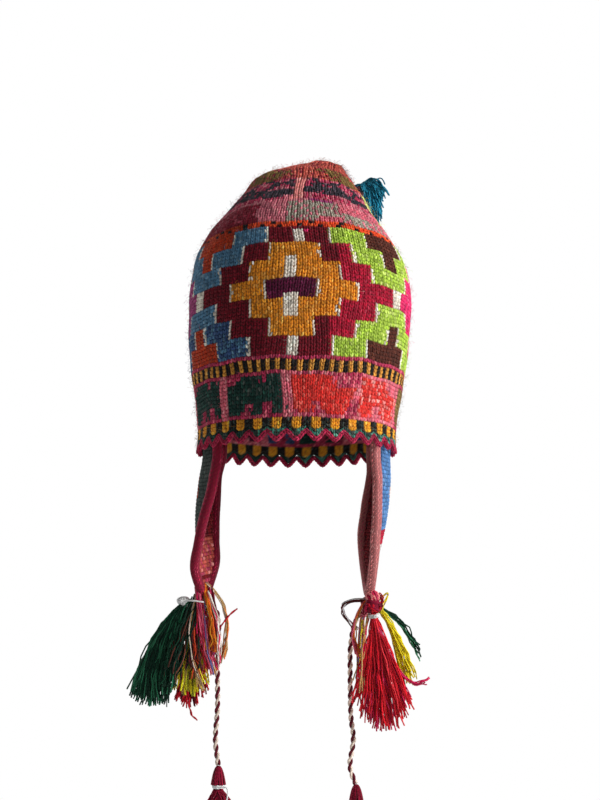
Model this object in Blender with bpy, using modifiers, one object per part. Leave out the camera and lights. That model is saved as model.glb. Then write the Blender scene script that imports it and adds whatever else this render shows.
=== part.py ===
"""Knitted chullo hat with ear flaps, yarn tassels and twisted tie cords.

Metres, +Z up. The front faces -Y and +X is the right of a viewer in front. The origin is the
centre of the rim, where the hat sits on a head. The hat has its worn form: a tall crown that
leans back, with its tip folded over, and flaps and ties that hang below the rim.
"""

import math
from collections import namedtuple

import bmesh
import bpy
from mathutils import Vector

# Driving dimensions, in metres and degrees
WALL = 0.003
TOUCH = 0.0004
RIM_LEAN = 8.0

# Scalloped rim: a low and a high point for each scallop, measured along the crown's own axis
SCALLOPS = 33
COLUMNS = 2 * SCALLOPS
SCALLOP_LOW = -0.0005
SCALLOP_HIGH = 0.0065
SCALLOP_FLARE = 0.0010
RIM_COURSE = 0.010
# Sections narrower than this have half as many columns
NARROW = 0.045
BRIM_CORD_RADIUS = 0.0016
BRIM_SEAM = 0.0007

# Sections of the crown from the rim to the folded tip. lean tips a section's axis from upright
# towards the back, and turn swings that way of leaning from straight back towards +X.
Section = namedtuple("Section", "x y z lean turn half_width half_depth")
CROWN = (
    Section(-0.0012, 0.0000, 0.0000, RIM_LEAN, 0, 0.0785, 0.0970),
    Section(-0.0008, 0.0010, 0.0200, 8.2, 0, 0.0794, 0.0985),
    Section(-0.0002, 0.0020, 0.0450, 8.6, 0, 0.0829, 0.0995),
    Section(0.0003, 0.0030, 0.0700, 9.0, 0, 0.0867, 0.0995),
    Section(0.0012, 0.0040, 0.0960, 9.5, 0, 0.0885, 0.0980),
    Section(0.0020, 0.0050, 0.1250, 10.2, 0, 0.0882, 0.0940),
    Section(0.0009, 0.0060, 0.1480, 11.2, 0, 0.0832, 0.0870),
    Section(-0.0004, 0.0080, 0.1660, 13.5, 0, 0.0742, 0.0755),
    Section(0.0002, 0.0105, 0.1820, 17.5, 0, 0.0622, 0.0605),
    Section(0.0030, 0.0130, 0.1970, 24.0, 0, 0.0512, 0.0440),
    Section(0.0032, 0.0160, 0.2095, 34.0, 0, 0.0426, 0.0285),
    Section(0.0072, 0.0210, 0.2175, 50.0, 5, 0.0345, 0.0150),
    Section(0.0168, 0.0275, 0.2246, 76.0, 12, 0.0205, 0.0102),
    Section(0.0205, 0.0345, 0.2250, 98.0, 22, 0.0192, 0.0090),
    Section(0.0255, 0.0405, 0.2215, 111.0, 35, 0.0178, 0.0084),
    Section(0.0312, 0.0453, 0.2185, 118.0, 46, 0.0155, 0.0080),
    Section(0.0372, 0.0492, 0.2155, 121.0, 53, 0.0118, 0.0068),
    Section(0.0412, 0.0516, 0.2132, 122.0, 56, 0.0055, 0.0045),
)

# Soft dents in the knit: where round the crown, how high, how wide and how deep. DENT_REACH is
# the radius that turns an angle between two places into a distance.
DENT_REACH = 0.08
Dent = namedtuple("Dent", "angle height spread depth")
DENTS = (
    Dent(-62, 0.176, 0.022, 0.0022),
    Dent(48, 0.188, 0.020, 0.0020),
    Dent(-20, 0.206, 0.018, 0.0020),
    Dent(150, 0.120, 0.040, 0.0030),
    Dent(205, 0.060, 0.035, 0.0025),
)

# Ear flaps. Each row gives how far out from the middle plane the cloth lies at the height z,
# at y = -FLAP_STATION, 0 and +FLAP_STATION.
FLAP_STATION = 0.045
FlapRow = namedtuple("FlapRow", "z front middle back")
LEFT_FLAP = (
    FlapRow(0.014, 0.0648, 0.0744, 0.0648),
    FlapRow(-0.006, 0.0648, 0.0745, 0.0649),
    FlapRow(-0.025, 0.0665, 0.0778, 0.0670),
    FlapRow(-0.050, 0.0715, 0.0798, 0.0650),
    FlapRow(-0.075, 0.0765, 0.0778, 0.0610),
    FlapRow(-0.095, 0.0830, 0.0748, 0.0570),
    FlapRow(-0.120, 0.0780, 0.0738, 0.0640),
)
RIGHT_FLAP = (
    FlapRow(0.014, 0.0624, 0.0720, 0.0624),
    FlapRow(-0.006, 0.0624, 0.0720, 0.0624),
    FlapRow(-0.025, 0.0620, 0.0722, 0.0600),
    FlapRow(-0.050, 0.0600, 0.0695, 0.0520),
    FlapRow(-0.075, 0.0560, 0.0640, 0.0430),
    FlapRow(-0.095, 0.0560, 0.0580, 0.0450),
    FlapRow(-0.120, 0.0560, 0.0560, 0.0500),
)

# Outline of a flap, from its top edge inside the rim down to its tip. Its rows run parallel to
# the rim at the top and turn level down to FLAP_LEVEL_TOP.
FlapEdge = namedtuple("FlapEdge", "z y half_span")
FLAP_OUTLINE = (
    FlapEdge(0.0090, 0.0000, 0.0430),
    FlapEdge(-0.0060, 0.0000, 0.0430),
    FlapEdge(-0.0200, -0.0005, 0.0420),
    FlapEdge(-0.0380, -0.0010, 0.0395),
    FlapEdge(-0.0560, -0.0015, 0.0350),
    FlapEdge(-0.0720, -0.0020, 0.0300),
    FlapEdge(-0.0860, -0.0025, 0.0240),
    FlapEdge(-0.0980, -0.0030, 0.0165),
    FlapEdge(-0.1060, -0.0030, 0.0095),
    FlapEdge(-0.1095, -0.0030, 0.0035),
)
FLAP_COLUMNS = 8
FLAP_LEVEL_TOP = -0.060

# The border round a flap. It is tucked in behind the rim, from TUCK_TOP up, where it is thicker
# than the flap, and the tuck fades out down to TUCK_END.
EDGING_WIDTH = 0.0072
EDGING_THICKNESS = 0.0050
EDGING_TUCK = 0.0014
TUCK_TOP = -0.005
TUCK_END = -0.020
EDGING_SIDES = 8
CLOTH_STEP = 0.002

# Colours of the yarns, as sRGB values from 0 to 1
MAGENTA = (0.62, 0.13, 0.32)
HEATHER = (0.66, 0.22, 0.33)
FLAP_BLUE = (0.25, 0.45, 0.68)
FLAP_GREEN = (0.16, 0.25, 0.24)
BORDER_PINK = (0.85, 0.40, 0.42)
BORDER_RED = (0.62, 0.11, 0.24)
BOTTLE_GREEN = (0.03, 0.30, 0.18)
YELLOW = (0.87, 0.72, 0.10)
SCARLET = (0.76, 0.05, 0.13)
ROSE = (0.80, 0.30, 0.42)
WHITE = (0.88, 0.86, 0.82)
CREAM = (0.82, 0.74, 0.68)
CRIMSON = (0.52, 0.05, 0.17)
TEAL = (0.03, 0.36, 0.48)
ORANGE = (0.85, 0.42, 0.22)

# Tie cords
CORD_RADIUS = 0.00215
CORD_STEP = 0.0105
LEFT_CORD = (
    (-0.0676, -0.0034, -0.1259),
    (-0.0640, -0.0030, -0.1330),
    (-0.0632, -0.0030, -0.1550),
    (-0.0642, -0.0050, -0.1730),
    (-0.0640, -0.0090, -0.2040),
    (-0.0655, -0.0130, -0.2290),
    (-0.0632, -0.0150, -0.2490),
)
RIGHT_CORD = (
    (0.0516, -0.0008, -0.1264),
    (0.0450, 0.0000, -0.1400),
    (0.0420, -0.0020, -0.1570),
    (0.0416, -0.0040, -0.1740),
    (0.0420, -0.0080, -0.2100),
    (0.0440, -0.0110, -0.2290),
    (0.0412, -0.0130, -0.2500),
    (0.0455, -0.0140, -0.2640),
)

# A tassel hangs from a round head, is bound at its neck and spreads in locks. first and last
# are the ends of its outer locks, and the others lie between them. swell pushes the locks'
# middles along its direction, and drop lowers the ends of the middle locks.
Tassel = namedtuple("Tassel", "head size neck first last locks radius swell drop")
TASSELS = {
    "left_green_tassel": Tassel(
        (-0.0826, -0.0056, -0.1225), (0.0030, 0.0030, 0.0032), (-0.0885, -0.0075, -0.1225),
        (-0.1320, -0.0100, -0.1950), (-0.1060, -0.0110, -0.2000), 6, 0.0034,
        (-0.0080, -0.0010, 0.0160), 0.0040,
    ),
    "left_yellow_tassel": Tassel(
        (-0.0778, -0.0106, -0.1258), (0.0033, 0.0032, 0.0034), (-0.0802, -0.0138, -0.1320),
        (-0.0975, -0.0175, -0.1880), (-0.0735, -0.0205, -0.1830), 5, 0.0033,
        (-0.0030, -0.0020, -0.0060), 0.0080,
    ),
    "left_red_tuft": Tassel(
        (-0.0786, -0.0020, -0.1310), (0.0032, 0.0030, 0.0034), (-0.0815, -0.0015, -0.1380),
        (-0.0960, -0.0050, -0.1990), (-0.0745, -0.0060, -0.1950), 4, 0.0033,
        (-0.0010, 0.0010, -0.0060), 0.0060,
    ),
    "left_mixed_tassel": Tassel(
        (-0.0711, -0.0088, -0.1290), (0.0032, 0.0030, 0.0034), (-0.0711, -0.0098, -0.1345),
        (-0.0780, -0.0112, -0.1690), (-0.0610, -0.0125, -0.1660), 4, 0.0027,
        (0.0000, -0.0010, 0.0000), 0.0080,
    ),
    "right_red_tassel": Tassel(
        (0.0590, -0.0190, -0.1205), (0.0066, 0.0055, 0.0088), (0.0598, -0.0192, -0.1308),
        (0.0470, -0.0240, -0.1990), (0.0870, -0.0240, -0.2020), 8, 0.0048,
        (0.0010, -0.0020, 0.0040), 0.0190,
    ),
    "right_yellow_tassel": Tassel(
        (0.0647, -0.0030, -0.1262), (0.0033, 0.0032, 0.0034), (0.0682, -0.0035, -0.1310),
        (0.0850, -0.0080, -0.1900), (0.0920, -0.0080, -0.1810), 3, 0.0030,
        (0.0030, 0.0000, 0.0040), 0.0010,
    ),
    "right_green_tassel": Tassel(
        (0.0622, 0.0035, -0.1240), (0.0030, 0.0030, 0.0030), (0.0665, 0.0050, -0.1270),
        (0.0980, 0.0040, -0.1690), (0.0965, 0.0040, -0.1600), 2, 0.0022,
        (0.0060, 0.0000, 0.0060), 0.0000,
    ),
    "right_mixed_tassel": Tassel(
        (0.0522, -0.0065, -0.1300), (0.0030, 0.0030, 0.0032), (0.0512, -0.0075, -0.1355),
        (0.0468, -0.0120, -0.1860), (0.0540, -0.0080, -0.1800), 3, 0.0026,
        (0.0000, 0.0000, 0.0000), 0.0030,
    ),
    "left_end_tassel": Tassel(
        (-0.0630, -0.0152, -0.2573), (0.0062, 0.0060, 0.0078), (-0.0630, -0.0155, -0.2660),
        (-0.0830, -0.0170, -0.3190), (-0.0430, -0.0170, -0.3190), 6, 0.0060,
        (0.0000, 0.0000, 0.0120), 0.0100,
    ),
    "right_end_tassel": Tassel(
        (0.0461, -0.0142, -0.2722), (0.0062, 0.0060, 0.0078), (0.0458, -0.0145, -0.2812),
        (0.0260, -0.0170, -0.3340), (0.0650, -0.0170, -0.3340), 6, 0.0060,
        (0.0000, 0.0000, 0.0120), 0.0100,
    ),
    "crown_tassel": Tassel(
        (0.0440, 0.0532, 0.2119), (0.0030, 0.0030, 0.0030), (0.0492, 0.0540, 0.2140),
        (0.0740, 0.0460, 0.2110), (0.0660, 0.0460, 0.1925), 5, 0.0036,
        (0.0045, -0.0010, 0.0170), 0.0000,
    ),
}
TASSEL_COLOURS = {
    "left_green_tassel": BOTTLE_GREEN,
    "left_yellow_tassel": YELLOW,
    "left_red_tuft": SCARLET,
    "left_mixed_tassel": ORANGE,
    "right_red_tassel": SCARLET,
    "right_yellow_tassel": YELLOW,
    "right_green_tassel": BOTTLE_GREEN,
    "right_mixed_tassel": ROSE,
    "left_end_tassel": CRIMSON,
    "right_end_tassel": CRIMSON,
    "crown_tassel": TEAL,
}
NECK_RADIUS = 0.0027
# The neck ends and the locks start past the bound place, as shares of the way from the head
NECK_END = 1.4
LOCK_START = 1.2
LOCK_SIDES = 5
LOCK_PROFILE = ((0.0, 0.55), (0.30, 0.80), (0.70, 1.15), (1.0, 0.70))
HEAD_SEGMENTS = 8
HEAD_RINGS = 6

# Yarn bound round a tassel's neck
Tie = namedtuple("Tie", "tassel ring_radius yarn_radius")
TIES = {
    "left_tie": Tie("left_green_tassel", 0.0049, 0.0012),
    "right_tie": Tie("right_red_tassel", 0.0045, 0.0012),
    "left_end_tie": Tie("left_end_tassel", 0.0052, 0.0012),
    "right_end_tie": Tie("right_end_tassel", 0.0052, 0.0012),
}

# Knots of yarn ends at the flaps' tips
Knot = namedtuple("Knot", "centre size")
KNOTS = {
    "left_knot": Knot((-0.0742, -0.0030, -0.1226), (0.0062, 0.0060, 0.0056)),
    "right_knot": Knot((0.0560, -0.0030, -0.1222), (0.0058, 0.0056, 0.0052)),
}


def clear_scene():
    """Remove every object, so that the scene holds only the hat."""
    for old in list(bpy.data.objects):
        bpy.data.objects.remove(old, do_unlink=True)


def new_collection(name):
    """A collection of that name, linked to the scene."""
    made = bpy.data.collections.new(name)
    bpy.context.scene.collection.children.link(made)
    return made


def linear(channel):
    """The linear value of an sRGB channel."""
    if channel <= 0.04045:
        return channel / 12.92
    return ((channel + 0.055) / 1.055) ** 2.4


def wool(name, colour):
    """A rough, matt yarn of one colour."""
    made = bpy.data.materials.new(name)
    made.use_nodes = True
    shader = made.node_tree.nodes["Principled BSDF"]
    shader.inputs["Base Color"].default_value = (*[linear(c) for c in colour], 1.0)
    shader.inputs["Roughness"].default_value = 0.9
    shader.inputs["Metallic"].default_value = 0.0
    return made


def add_object(collection, name, data, colour):
    """An object of the hat, with its own material."""
    made = bpy.data.objects.new(name, data)
    made.data.materials.append(wool(name, colour))
    collection.objects.link(made)
    return made


def loft(name, rings, closed=True, cap_start=False, cap_end=False):
    """A surface through rings of points, which are joined into loops if closed is true.

    A ring may have half as many points as the one before it.
    """
    shape = bmesh.new()
    levels = [[shape.verts.new(point) for point in ring] for ring in rings]
    for lower, upper in zip(levels, levels[1:]):
        count = len(upper)
        for i in range(count if closed else count - 1):
            j = (i + 1) % count
            if len(lower) == count:
                shape.faces.new((lower[i], lower[j], upper[j], upper[i]))
            else:
                shape.faces.new((lower[2 * i], lower[2 * i + 1], upper[i]))
                shape.faces.new((lower[2 * i + 1], lower[2 * j], upper[j], upper[i]))
    if cap_start:
        shape.faces.new(levels[0][::-1])
    if cap_end:
        shape.faces.new(levels[-1])
    bmesh.ops.recalc_face_normals(shape, faces=shape.faces)
    mesh = bpy.data.meshes.new(name)
    shape.to_mesh(mesh)
    shape.free()
    mesh.shade_smooth()
    return mesh


def cubic(before, start, end, after, t):
    """A value at t between start and end on a smooth curve that also has before and after."""
    slope_in = 0.5 * (end - before)
    slope_out = 0.5 * (after - start)
    run = end - start
    bend = 3.0 * run - 2.0 * slope_in - slope_out
    twist = slope_in + slope_out - 2.0 * run
    return start + t * (slope_in + t * (bend + t * twist))


def smooth_path(points, step):
    """Points about step apart on a smooth curve through points."""
    route = [Vector(p) for p in points]
    route = [2 * route[0] - route[1], *route, 2 * route[-1] - route[-2]]
    path = []
    for a, b, c, d in zip(route, route[1:], route[2:], route[3:]):
        parts = max(1, round((c - b).length / step))
        path += [cubic(a, b, c, d, i / parts) for i in range(parts)]
    return [*path, route[-2]]


def section_axes(section):
    """The width, depth and length directions of a section of the crown."""
    lean = math.radians(section.lean)
    turn = math.radians(section.turn)
    width = Vector((math.cos(turn), -math.sin(turn), 0.0))
    back = Vector((math.sin(turn), math.cos(turn), 0.0))
    depth = math.cos(lean) * back - math.sin(lean) * Vector((0.0, 0.0, 1.0))
    length = math.sin(lean) * back + math.cos(lean) * Vector((0.0, 0.0, 1.0))
    return width, depth, length


def dent_depth(angle, z):
    """How far the dents press the knit in, at an angle from the front and a height."""
    total = 0.0
    for dent in DENTS:
        away = (angle - math.radians(dent.angle) + math.pi) % (2 * math.pi) - math.pi
        arc = DENT_REACH * away
        total += dent.depth * math.exp(-(arc**2 + (z - dent.height) ** 2) / dent.spread**2)
    return total


def crown_point(section, angle, out=0.0, along=0.0):
    """A point of the crown's outer face. angle is 0 at the front and grows towards +X."""
    width, depth, length = section_axes(section)
    centre = Vector((section.x, section.y, section.z))
    out -= dent_depth(angle, section.z)
    across = (section.half_width + out) * math.sin(angle)
    back = -(section.half_depth + out) * math.cos(angle)
    return centre + across * width + back * depth + along * length


def between(first, second, t):
    """The section at t on the way from one section to the next."""
    return Section(*[a + t * (b - a) for a, b in zip(first, second)])


def scallop_wave(column):
    """1 at a scallop's low point and 0 at its high point."""
    return 1 - column % 2


def rim_ring(out, along):
    """The scalloped rim's points, moved out and along the crown's axis."""
    points = []
    for column in range(COLUMNS):
        low = scallop_wave(column)
        height = SCALLOP_LOW if low else SCALLOP_HIGH
        flare = SCALLOP_FLARE * low
        angle = 2 * math.pi * column / COLUMNS
        points.append(crown_point(CROWN[0], angle, out + flare, height + along))
    return points


def build_crown(collection):
    """The hollow knitted crown with its folded tip, open at the rim."""
    first_course = between(CROWN[0], CROWN[1], RIM_COURSE / CROWN[1].z)
    rings = [rim_ring(0.0, 0.0)]
    for section in (first_course, *CROWN[1:]):
        columns = COLUMNS if section.half_width > NARROW else COLUMNS // 2
        angles = [2 * math.pi * column / columns for column in range(columns)]
        rings.append([crown_point(section, angle) for angle in angles])
    crown = add_object(collection, "crown", loft("crown", rings, cap_end=True), HEATHER)
    thick = crown.modifiers.new("wall", "SOLIDIFY")
    thick.thickness = WALL
    thick.offset = -1.0
    thick.use_even_offset = False


def build_brim_edging(collection):
    """The cord worked round the scallops, just under the crown's edge."""
    curve = bpy.data.curves.new("brim_edging", "CURVE")
    curve.dimensions = "3D"
    curve.bevel_depth = BRIM_CORD_RADIUS
    curve.bevel_resolution = 2
    points = rim_ring(-WALL / 2 + SCALLOP_FLARE / 2, -BRIM_CORD_RADIUS - BRIM_SEAM)
    spline = curve.splines.new("POLY")
    spline.points.add(len(points) - 1)
    for slot, point in zip(spline.points, points):
        slot.co = (*point, 1.0)
    spline.use_cyclic_u = True
    add_object(collection, "brim_edging", curve, MAGENTA)


def flap_reach(rows, y, z):
    """How far a flap's cloth lies from the middle plane at y and z."""
    z = min(max(z, rows[-1].z), rows[0].z)
    index = next(i for i in range(len(rows) - 1) if z >= rows[i + 1].z)
    a = rows[max(index - 1, 0)]
    b, c = rows[index], rows[index + 1]
    d = rows[min(index + 2, len(rows) - 1)]
    t = (b.z - z) / (b.z - c.z)
    front, middle, back = (
        cubic(*[getattr(row, name) for row in (a, b, c, d)], t)
        for name in ("front", "middle", "back")
    )
    s = y / FLAP_STATION
    return middle + s * (back - front) / 2 + s * s * ((front + back) / 2 - middle)


def flap_height(edge, y):
    """The height of a row of the flap at y: parallel to the rim above, and level below."""
    share = min(max((edge.z - FLAP_LEVEL_TOP) / -FLAP_LEVEL_TOP, 0.0), 1.0)
    return edge.z - share * y * math.tan(math.radians(RIM_LEAN))


def flap_point(side, rows, y, z, tuck=0.0):
    """A point of a flap's cloth, with side -1 on the left of the view and +1 on the right."""
    return Vector((side * (flap_reach(rows, y, z) - tuck), y, z))


def build_flap(collection, name, side, rows, colour):
    """A knitted ear flap that hangs from inside the rim."""
    rings = []
    for edge in FLAP_OUTLINE:
        ring = []
        for column in range(FLAP_COLUMNS + 1):
            y = edge.y + edge.half_span * (2 * column / FLAP_COLUMNS - 1)
            ring.append(flap_point(side, rows, y, flap_height(edge, y)))
        rings.append(ring)
    flap = add_object(collection, name, loft(name, rings, closed=False), colour)
    thick = flap.modifiers.new("cloth", "SOLIDIFY")
    thick.thickness = WALL
    thick.offset = 0.0
    thick.use_even_offset = True


def flap_border_path():
    """(y, z) points on the centre line of a flap's border, down the front and up the back."""
    front = [(edge.y - edge.half_span, edge) for edge in FLAP_OUTLINE]
    back = [(edge.y + edge.half_span, edge) for edge in reversed(FLAP_OUTLINE)]
    outline = [Vector((y, flap_height(edge, y))) for y, edge in (*front, *back)]
    reach = EDGING_WIDTH / 2 + TOUCH
    path = []
    for index, point in enumerate(outline):
        before = point - outline[index - 1] if index else outline[1] - point
        after = outline[index + 1] - point if index < len(outline) - 1 else before
        normals = [Vector((run.y, -run.x)).normalized() for run in (before, after)]
        spread = 1 + normals[0].dot(normals[1])
        path.append(point + reach * (normals[0] + normals[1]) / spread)
    return path


def build_flap_edging(collection, name, side, rows, colour):
    """The thick border worked along a flap's free edge."""
    path = flap_border_path()
    rings = []
    for index, (y, z) in enumerate(path):
        tuck = EDGING_TUCK * min(max((z - TUCK_END) / (TUCK_TOP - TUCK_END), 0.0), 1.0)
        here = flap_point(side, rows, y, z, tuck)
        last = path[max(index - 1, 0)]
        following = path[min(index + 1, len(path) - 1)]
        run = flap_point(side, rows, *following, tuck) - flap_point(side, rows, *last, tuck)
        # Points a step apart across and down the cloth give the direction that it faces
        ahead, behind = (flap_point(side, rows, y + s * CLOTH_STEP, z) for s in (1, -1))
        above, below = (flap_point(side, rows, y, z + s * CLOTH_STEP) for s in (1, -1))
        across = ahead - behind
        down = below - above
        outward = side * across.cross(down).normalized()
        flat = run.cross(outward).normalized()
        ring = []
        for corner in range(EDGING_SIDES):
            angle = 2 * math.pi * (corner + 0.5) / EDGING_SIDES
            ring.append(
                here
                + EDGING_WIDTH / 2 * math.cos(angle) * flat
                + EDGING_THICKNESS / 2 * math.sin(angle) * outward
            )
        rings.append(ring)
    mesh = loft(name, rings, cap_start=True, cap_end=True)
    add_object(collection, name, mesh, colour)


def ball(name, centre, size):
    """A mesh ellipsoid round centre, with size as its three radii."""
    shape = bmesh.new()
    bmesh.ops.create_uvsphere(shape, u_segments=HEAD_SEGMENTS, v_segments=HEAD_RINGS, radius=1.0)
    bmesh.ops.scale(shape, vec=size, verts=shape.verts)
    bmesh.ops.translate(shape, vec=centre, verts=shape.verts)
    mesh = bpy.data.meshes.new(name)
    shape.to_mesh(mesh)
    shape.free()
    mesh.shade_smooth()
    return mesh


def build_knot(collection, name, knot, colour):
    """A round knot of yarn ends."""
    add_object(collection, name, ball(name, knot.centre, knot.size), colour)


def perpendiculars(direction):
    """Two directions square to a direction and to each other."""
    helper = Vector((0.0, 1.0, 0.0)) if abs(direction.y) < 0.9 else Vector((1.0, 0.0, 0.0))
    first = direction.cross(helper).normalized()
    return first, direction.cross(first).normalized()


def lock_mesh(name, start, middle, end, radius):
    """A tapered lock of yarn along a bent path from start to end."""
    rings = []
    for t, swell in LOCK_PROFILE:
        centre = (1 - t) ** 2 * start + 2 * t * (1 - t) * middle + t * t * end
        tangent = ((1 - t) * (middle - start) + t * (end - middle)).normalized()
        first, second = perpendiculars(tangent)
        ring = []
        for corner in range(LOCK_SIDES):
            angle = 2 * math.pi * corner / LOCK_SIDES
            ring.append(centre + swell * radius * (math.cos(angle) * first + math.sin(angle) * second))
        rings.append(ring)
    return loft(name, rings, cap_start=True, cap_end=True)


def lock_ends(tassel):
    """Where a tassel's locks end: evenly from first to last, the middle ones lower."""
    first, last = Vector(tassel.first), Vector(tassel.last)
    ends = []
    for index in range(tassel.locks):
        t = index / max(tassel.locks - 1, 1)
        end = first.lerp(last, t)
        end.z -= tassel.drop * math.sin(math.pi * t)
        ends.append(end)
    return ends


def build_tassel(collection, cutters, name, tassel, colour):
    """A tassel: its head, with its neck and locks fused to it by a union."""
    locks = bpy.data.collections.new(name + "_locks")
    cutters.children.link(locks)
    head = Vector(tassel.head)
    neck = Vector(tassel.neck)
    swell = Vector(tassel.swell)
    neck_end = head.lerp(neck, NECK_END)
    pieces = [lock_mesh(name + "_neck", head, head.lerp(neck_end, 0.5), neck_end, NECK_RADIUS)]
    for index, end in enumerate(lock_ends(tassel)):
        start = head.lerp(neck, LOCK_START)
        middle = neck.lerp(end, 0.45) + swell
        pieces.append(lock_mesh(f"{name}_lock_{index}", start, middle, end, tassel.radius))
    for mesh in pieces:
        piece = bpy.data.objects.new(mesh.name, mesh)
        piece.hide_render = True
        piece.display_type = "WIRE"
        locks.objects.link(piece)
    made = add_object(collection, name, ball(name, tassel.head, tassel.size), colour)
    union = made.modifiers.new("fuse", "BOOLEAN")
    union.operation = "UNION"
    union.operand_type = "COLLECTION"
    union.collection = locks
    union.solver = "EXACT"


def build_tie(collection, name, tie, colour):
    """A ring of yarn round a tassel's neck."""
    tassel = TASSELS[tie.tassel]
    head, neck = Vector(tassel.head), Vector(tassel.neck)
    along = (neck - head).normalized()
    bpy.ops.mesh.primitive_torus_add(
        major_radius=tie.ring_radius,
        minor_radius=tie.yarn_radius,
        major_segments=10,
        minor_segments=5,
        location=neck,
        rotation=along.to_track_quat("Z", "Y").to_euler(),
    )
    ring = bpy.context.object
    ring.name = name
    ring.data.name = name
    ring.data.materials.append(wool(name, colour))
    for holder in list(ring.users_collection):
        holder.objects.unlink(ring)
    collection.objects.link(ring)


def build_cord(collection, name, route):
    """A tie cord as a plain tube along its hanging route."""
    curve = bpy.data.curves.new(name, "CURVE")
    curve.dimensions = "3D"
    curve.bevel_depth = CORD_RADIUS
    curve.bevel_resolution = 3
    curve.use_fill_caps = True
    points = smooth_path(route, CORD_STEP)
    spline = curve.splines.new("POLY")
    spline.points.add(len(points) - 1)
    for slot, point in zip(spline.points, points):
        slot.co = (*point, 1.0)
    add_object(collection, name, curve, CREAM)


def main():
    clear_scene()
    hat = new_collection("chullo_hat")
    cutters = new_collection("cutters")
    build_crown(hat)
    build_brim_edging(hat)
    build_flap(hat, "left_flap", -1, LEFT_FLAP, FLAP_GREEN)
    build_flap(hat, "right_flap", 1, RIGHT_FLAP, FLAP_BLUE)
    build_flap_edging(hat, "left_flap_edging", -1, LEFT_FLAP, BORDER_RED)
    build_flap_edging(hat, "right_flap_edging", 1, RIGHT_FLAP, BORDER_PINK)
    for name, knot in KNOTS.items():
        build_knot(hat, name, knot, ROSE)
    for name, tassel in TASSELS.items():
        build_tassel(hat, cutters, name, tassel, TASSEL_COLOURS[name])
    for name, tie in TIES.items():
        build_tie(hat, name, tie, WHITE)
    build_cord(hat, "left_braid", LEFT_CORD)
    build_cord(hat, "right_braid", RIGHT_CORD)


main()
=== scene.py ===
"""Visible model of a knitted chullo hat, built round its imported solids.

Metres, +Z up. The front faces -Y and +X is the right of a viewer in front. The tables that give
the hat its form are those of the part's own source, so each piece lies where its solid lies.
"""

import math
from collections import namedtuple

import bpy
import numpy as np
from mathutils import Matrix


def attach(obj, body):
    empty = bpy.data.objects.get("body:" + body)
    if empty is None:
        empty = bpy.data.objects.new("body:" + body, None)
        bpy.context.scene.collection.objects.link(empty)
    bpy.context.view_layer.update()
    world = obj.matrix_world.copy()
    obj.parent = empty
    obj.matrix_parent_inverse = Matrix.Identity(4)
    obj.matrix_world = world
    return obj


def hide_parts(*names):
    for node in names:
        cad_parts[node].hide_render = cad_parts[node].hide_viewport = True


bl_info = {
    "name": "Knitted chullo hat",
    "version": (1, 0, 0),
    "blender": (4, 5, 0),
    "location": "3D Viewport > Sidebar > Hat",
    "description": "Builds the stitches, borders, tassels and tie cords of a knitted hat",
    "category": "Object",
}

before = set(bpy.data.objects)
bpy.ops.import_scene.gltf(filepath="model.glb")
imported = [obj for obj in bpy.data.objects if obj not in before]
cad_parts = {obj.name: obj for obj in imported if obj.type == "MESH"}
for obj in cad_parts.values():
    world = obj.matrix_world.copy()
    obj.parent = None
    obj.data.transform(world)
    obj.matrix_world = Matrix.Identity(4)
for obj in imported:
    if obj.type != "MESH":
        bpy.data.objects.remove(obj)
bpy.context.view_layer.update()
BODY = "root"

# Form of the hat, as in the part's source
WALL = 0.003
RIM_LEAN = math.radians(8.0)
SCALLOPS = 33
SCALLOP_LOW = -0.0005
SCALLOP_HIGH = 0.0065
SCALLOP_FLARE = 0.0010
RIM_COURSE = 0.010
BRIM_CORD_RADIUS = 0.0016
BRIM_SEAM = 0.0007

# Sections of the crown: x, y, z, lean, turn, half width, half depth
CROWN = np.array((
    (-0.0012, 0.0000, 0.0000, 8.0, 0, 0.0785, 0.0970),
    (-0.0008, 0.0010, 0.0200, 8.2, 0, 0.0794, 0.0985),
    (-0.0002, 0.0020, 0.0450, 8.6, 0, 0.0829, 0.0995),
    (0.0003, 0.0030, 0.0700, 9.0, 0, 0.0867, 0.0995),
    (0.0012, 0.0040, 0.0960, 9.5, 0, 0.0885, 0.0980),
    (0.0020, 0.0050, 0.1250, 10.2, 0, 0.0882, 0.0940),
    (0.0009, 0.0060, 0.1480, 11.2, 0, 0.0832, 0.0870),
    (-0.0004, 0.0080, 0.1660, 13.5, 0, 0.0742, 0.0755),
    (0.0002, 0.0105, 0.1820, 17.5, 0, 0.0622, 0.0605),
    (0.0030, 0.0130, 0.1970, 24.0, 0, 0.0512, 0.0440),
    (0.0032, 0.0160, 0.2095, 34.0, 0, 0.0426, 0.0285),
    (0.0072, 0.0210, 0.2175, 50.0, 5, 0.0345, 0.0150),
    (0.0168, 0.0275, 0.2246, 76.0, 12, 0.0205, 0.0102),
    (0.0205, 0.0345, 0.2250, 98.0, 22, 0.0192, 0.0090),
    (0.0255, 0.0405, 0.2215, 111.0, 35, 0.0178, 0.0084),
    (0.0312, 0.0453, 0.2185, 118.0, 46, 0.0155, 0.0080),
    (0.0372, 0.0492, 0.2155, 121.0, 53, 0.0118, 0.0068),
    (0.0412, 0.0516, 0.2132, 122.0, 56, 0.0055, 0.0045),
))

# Soft dents in the knit: angle, height, spread, depth. DENT_REACH turns an angle to a length.
DENT_REACH = 0.08
DENTS = (
    (-62, 0.176, 0.022, 0.0022),
    (48, 0.188, 0.020, 0.0020),
    (-20, 0.206, 0.018, 0.0020),
    (150, 0.120, 0.040, 0.0030),
    (205, 0.060, 0.035, 0.0025),
)

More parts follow.
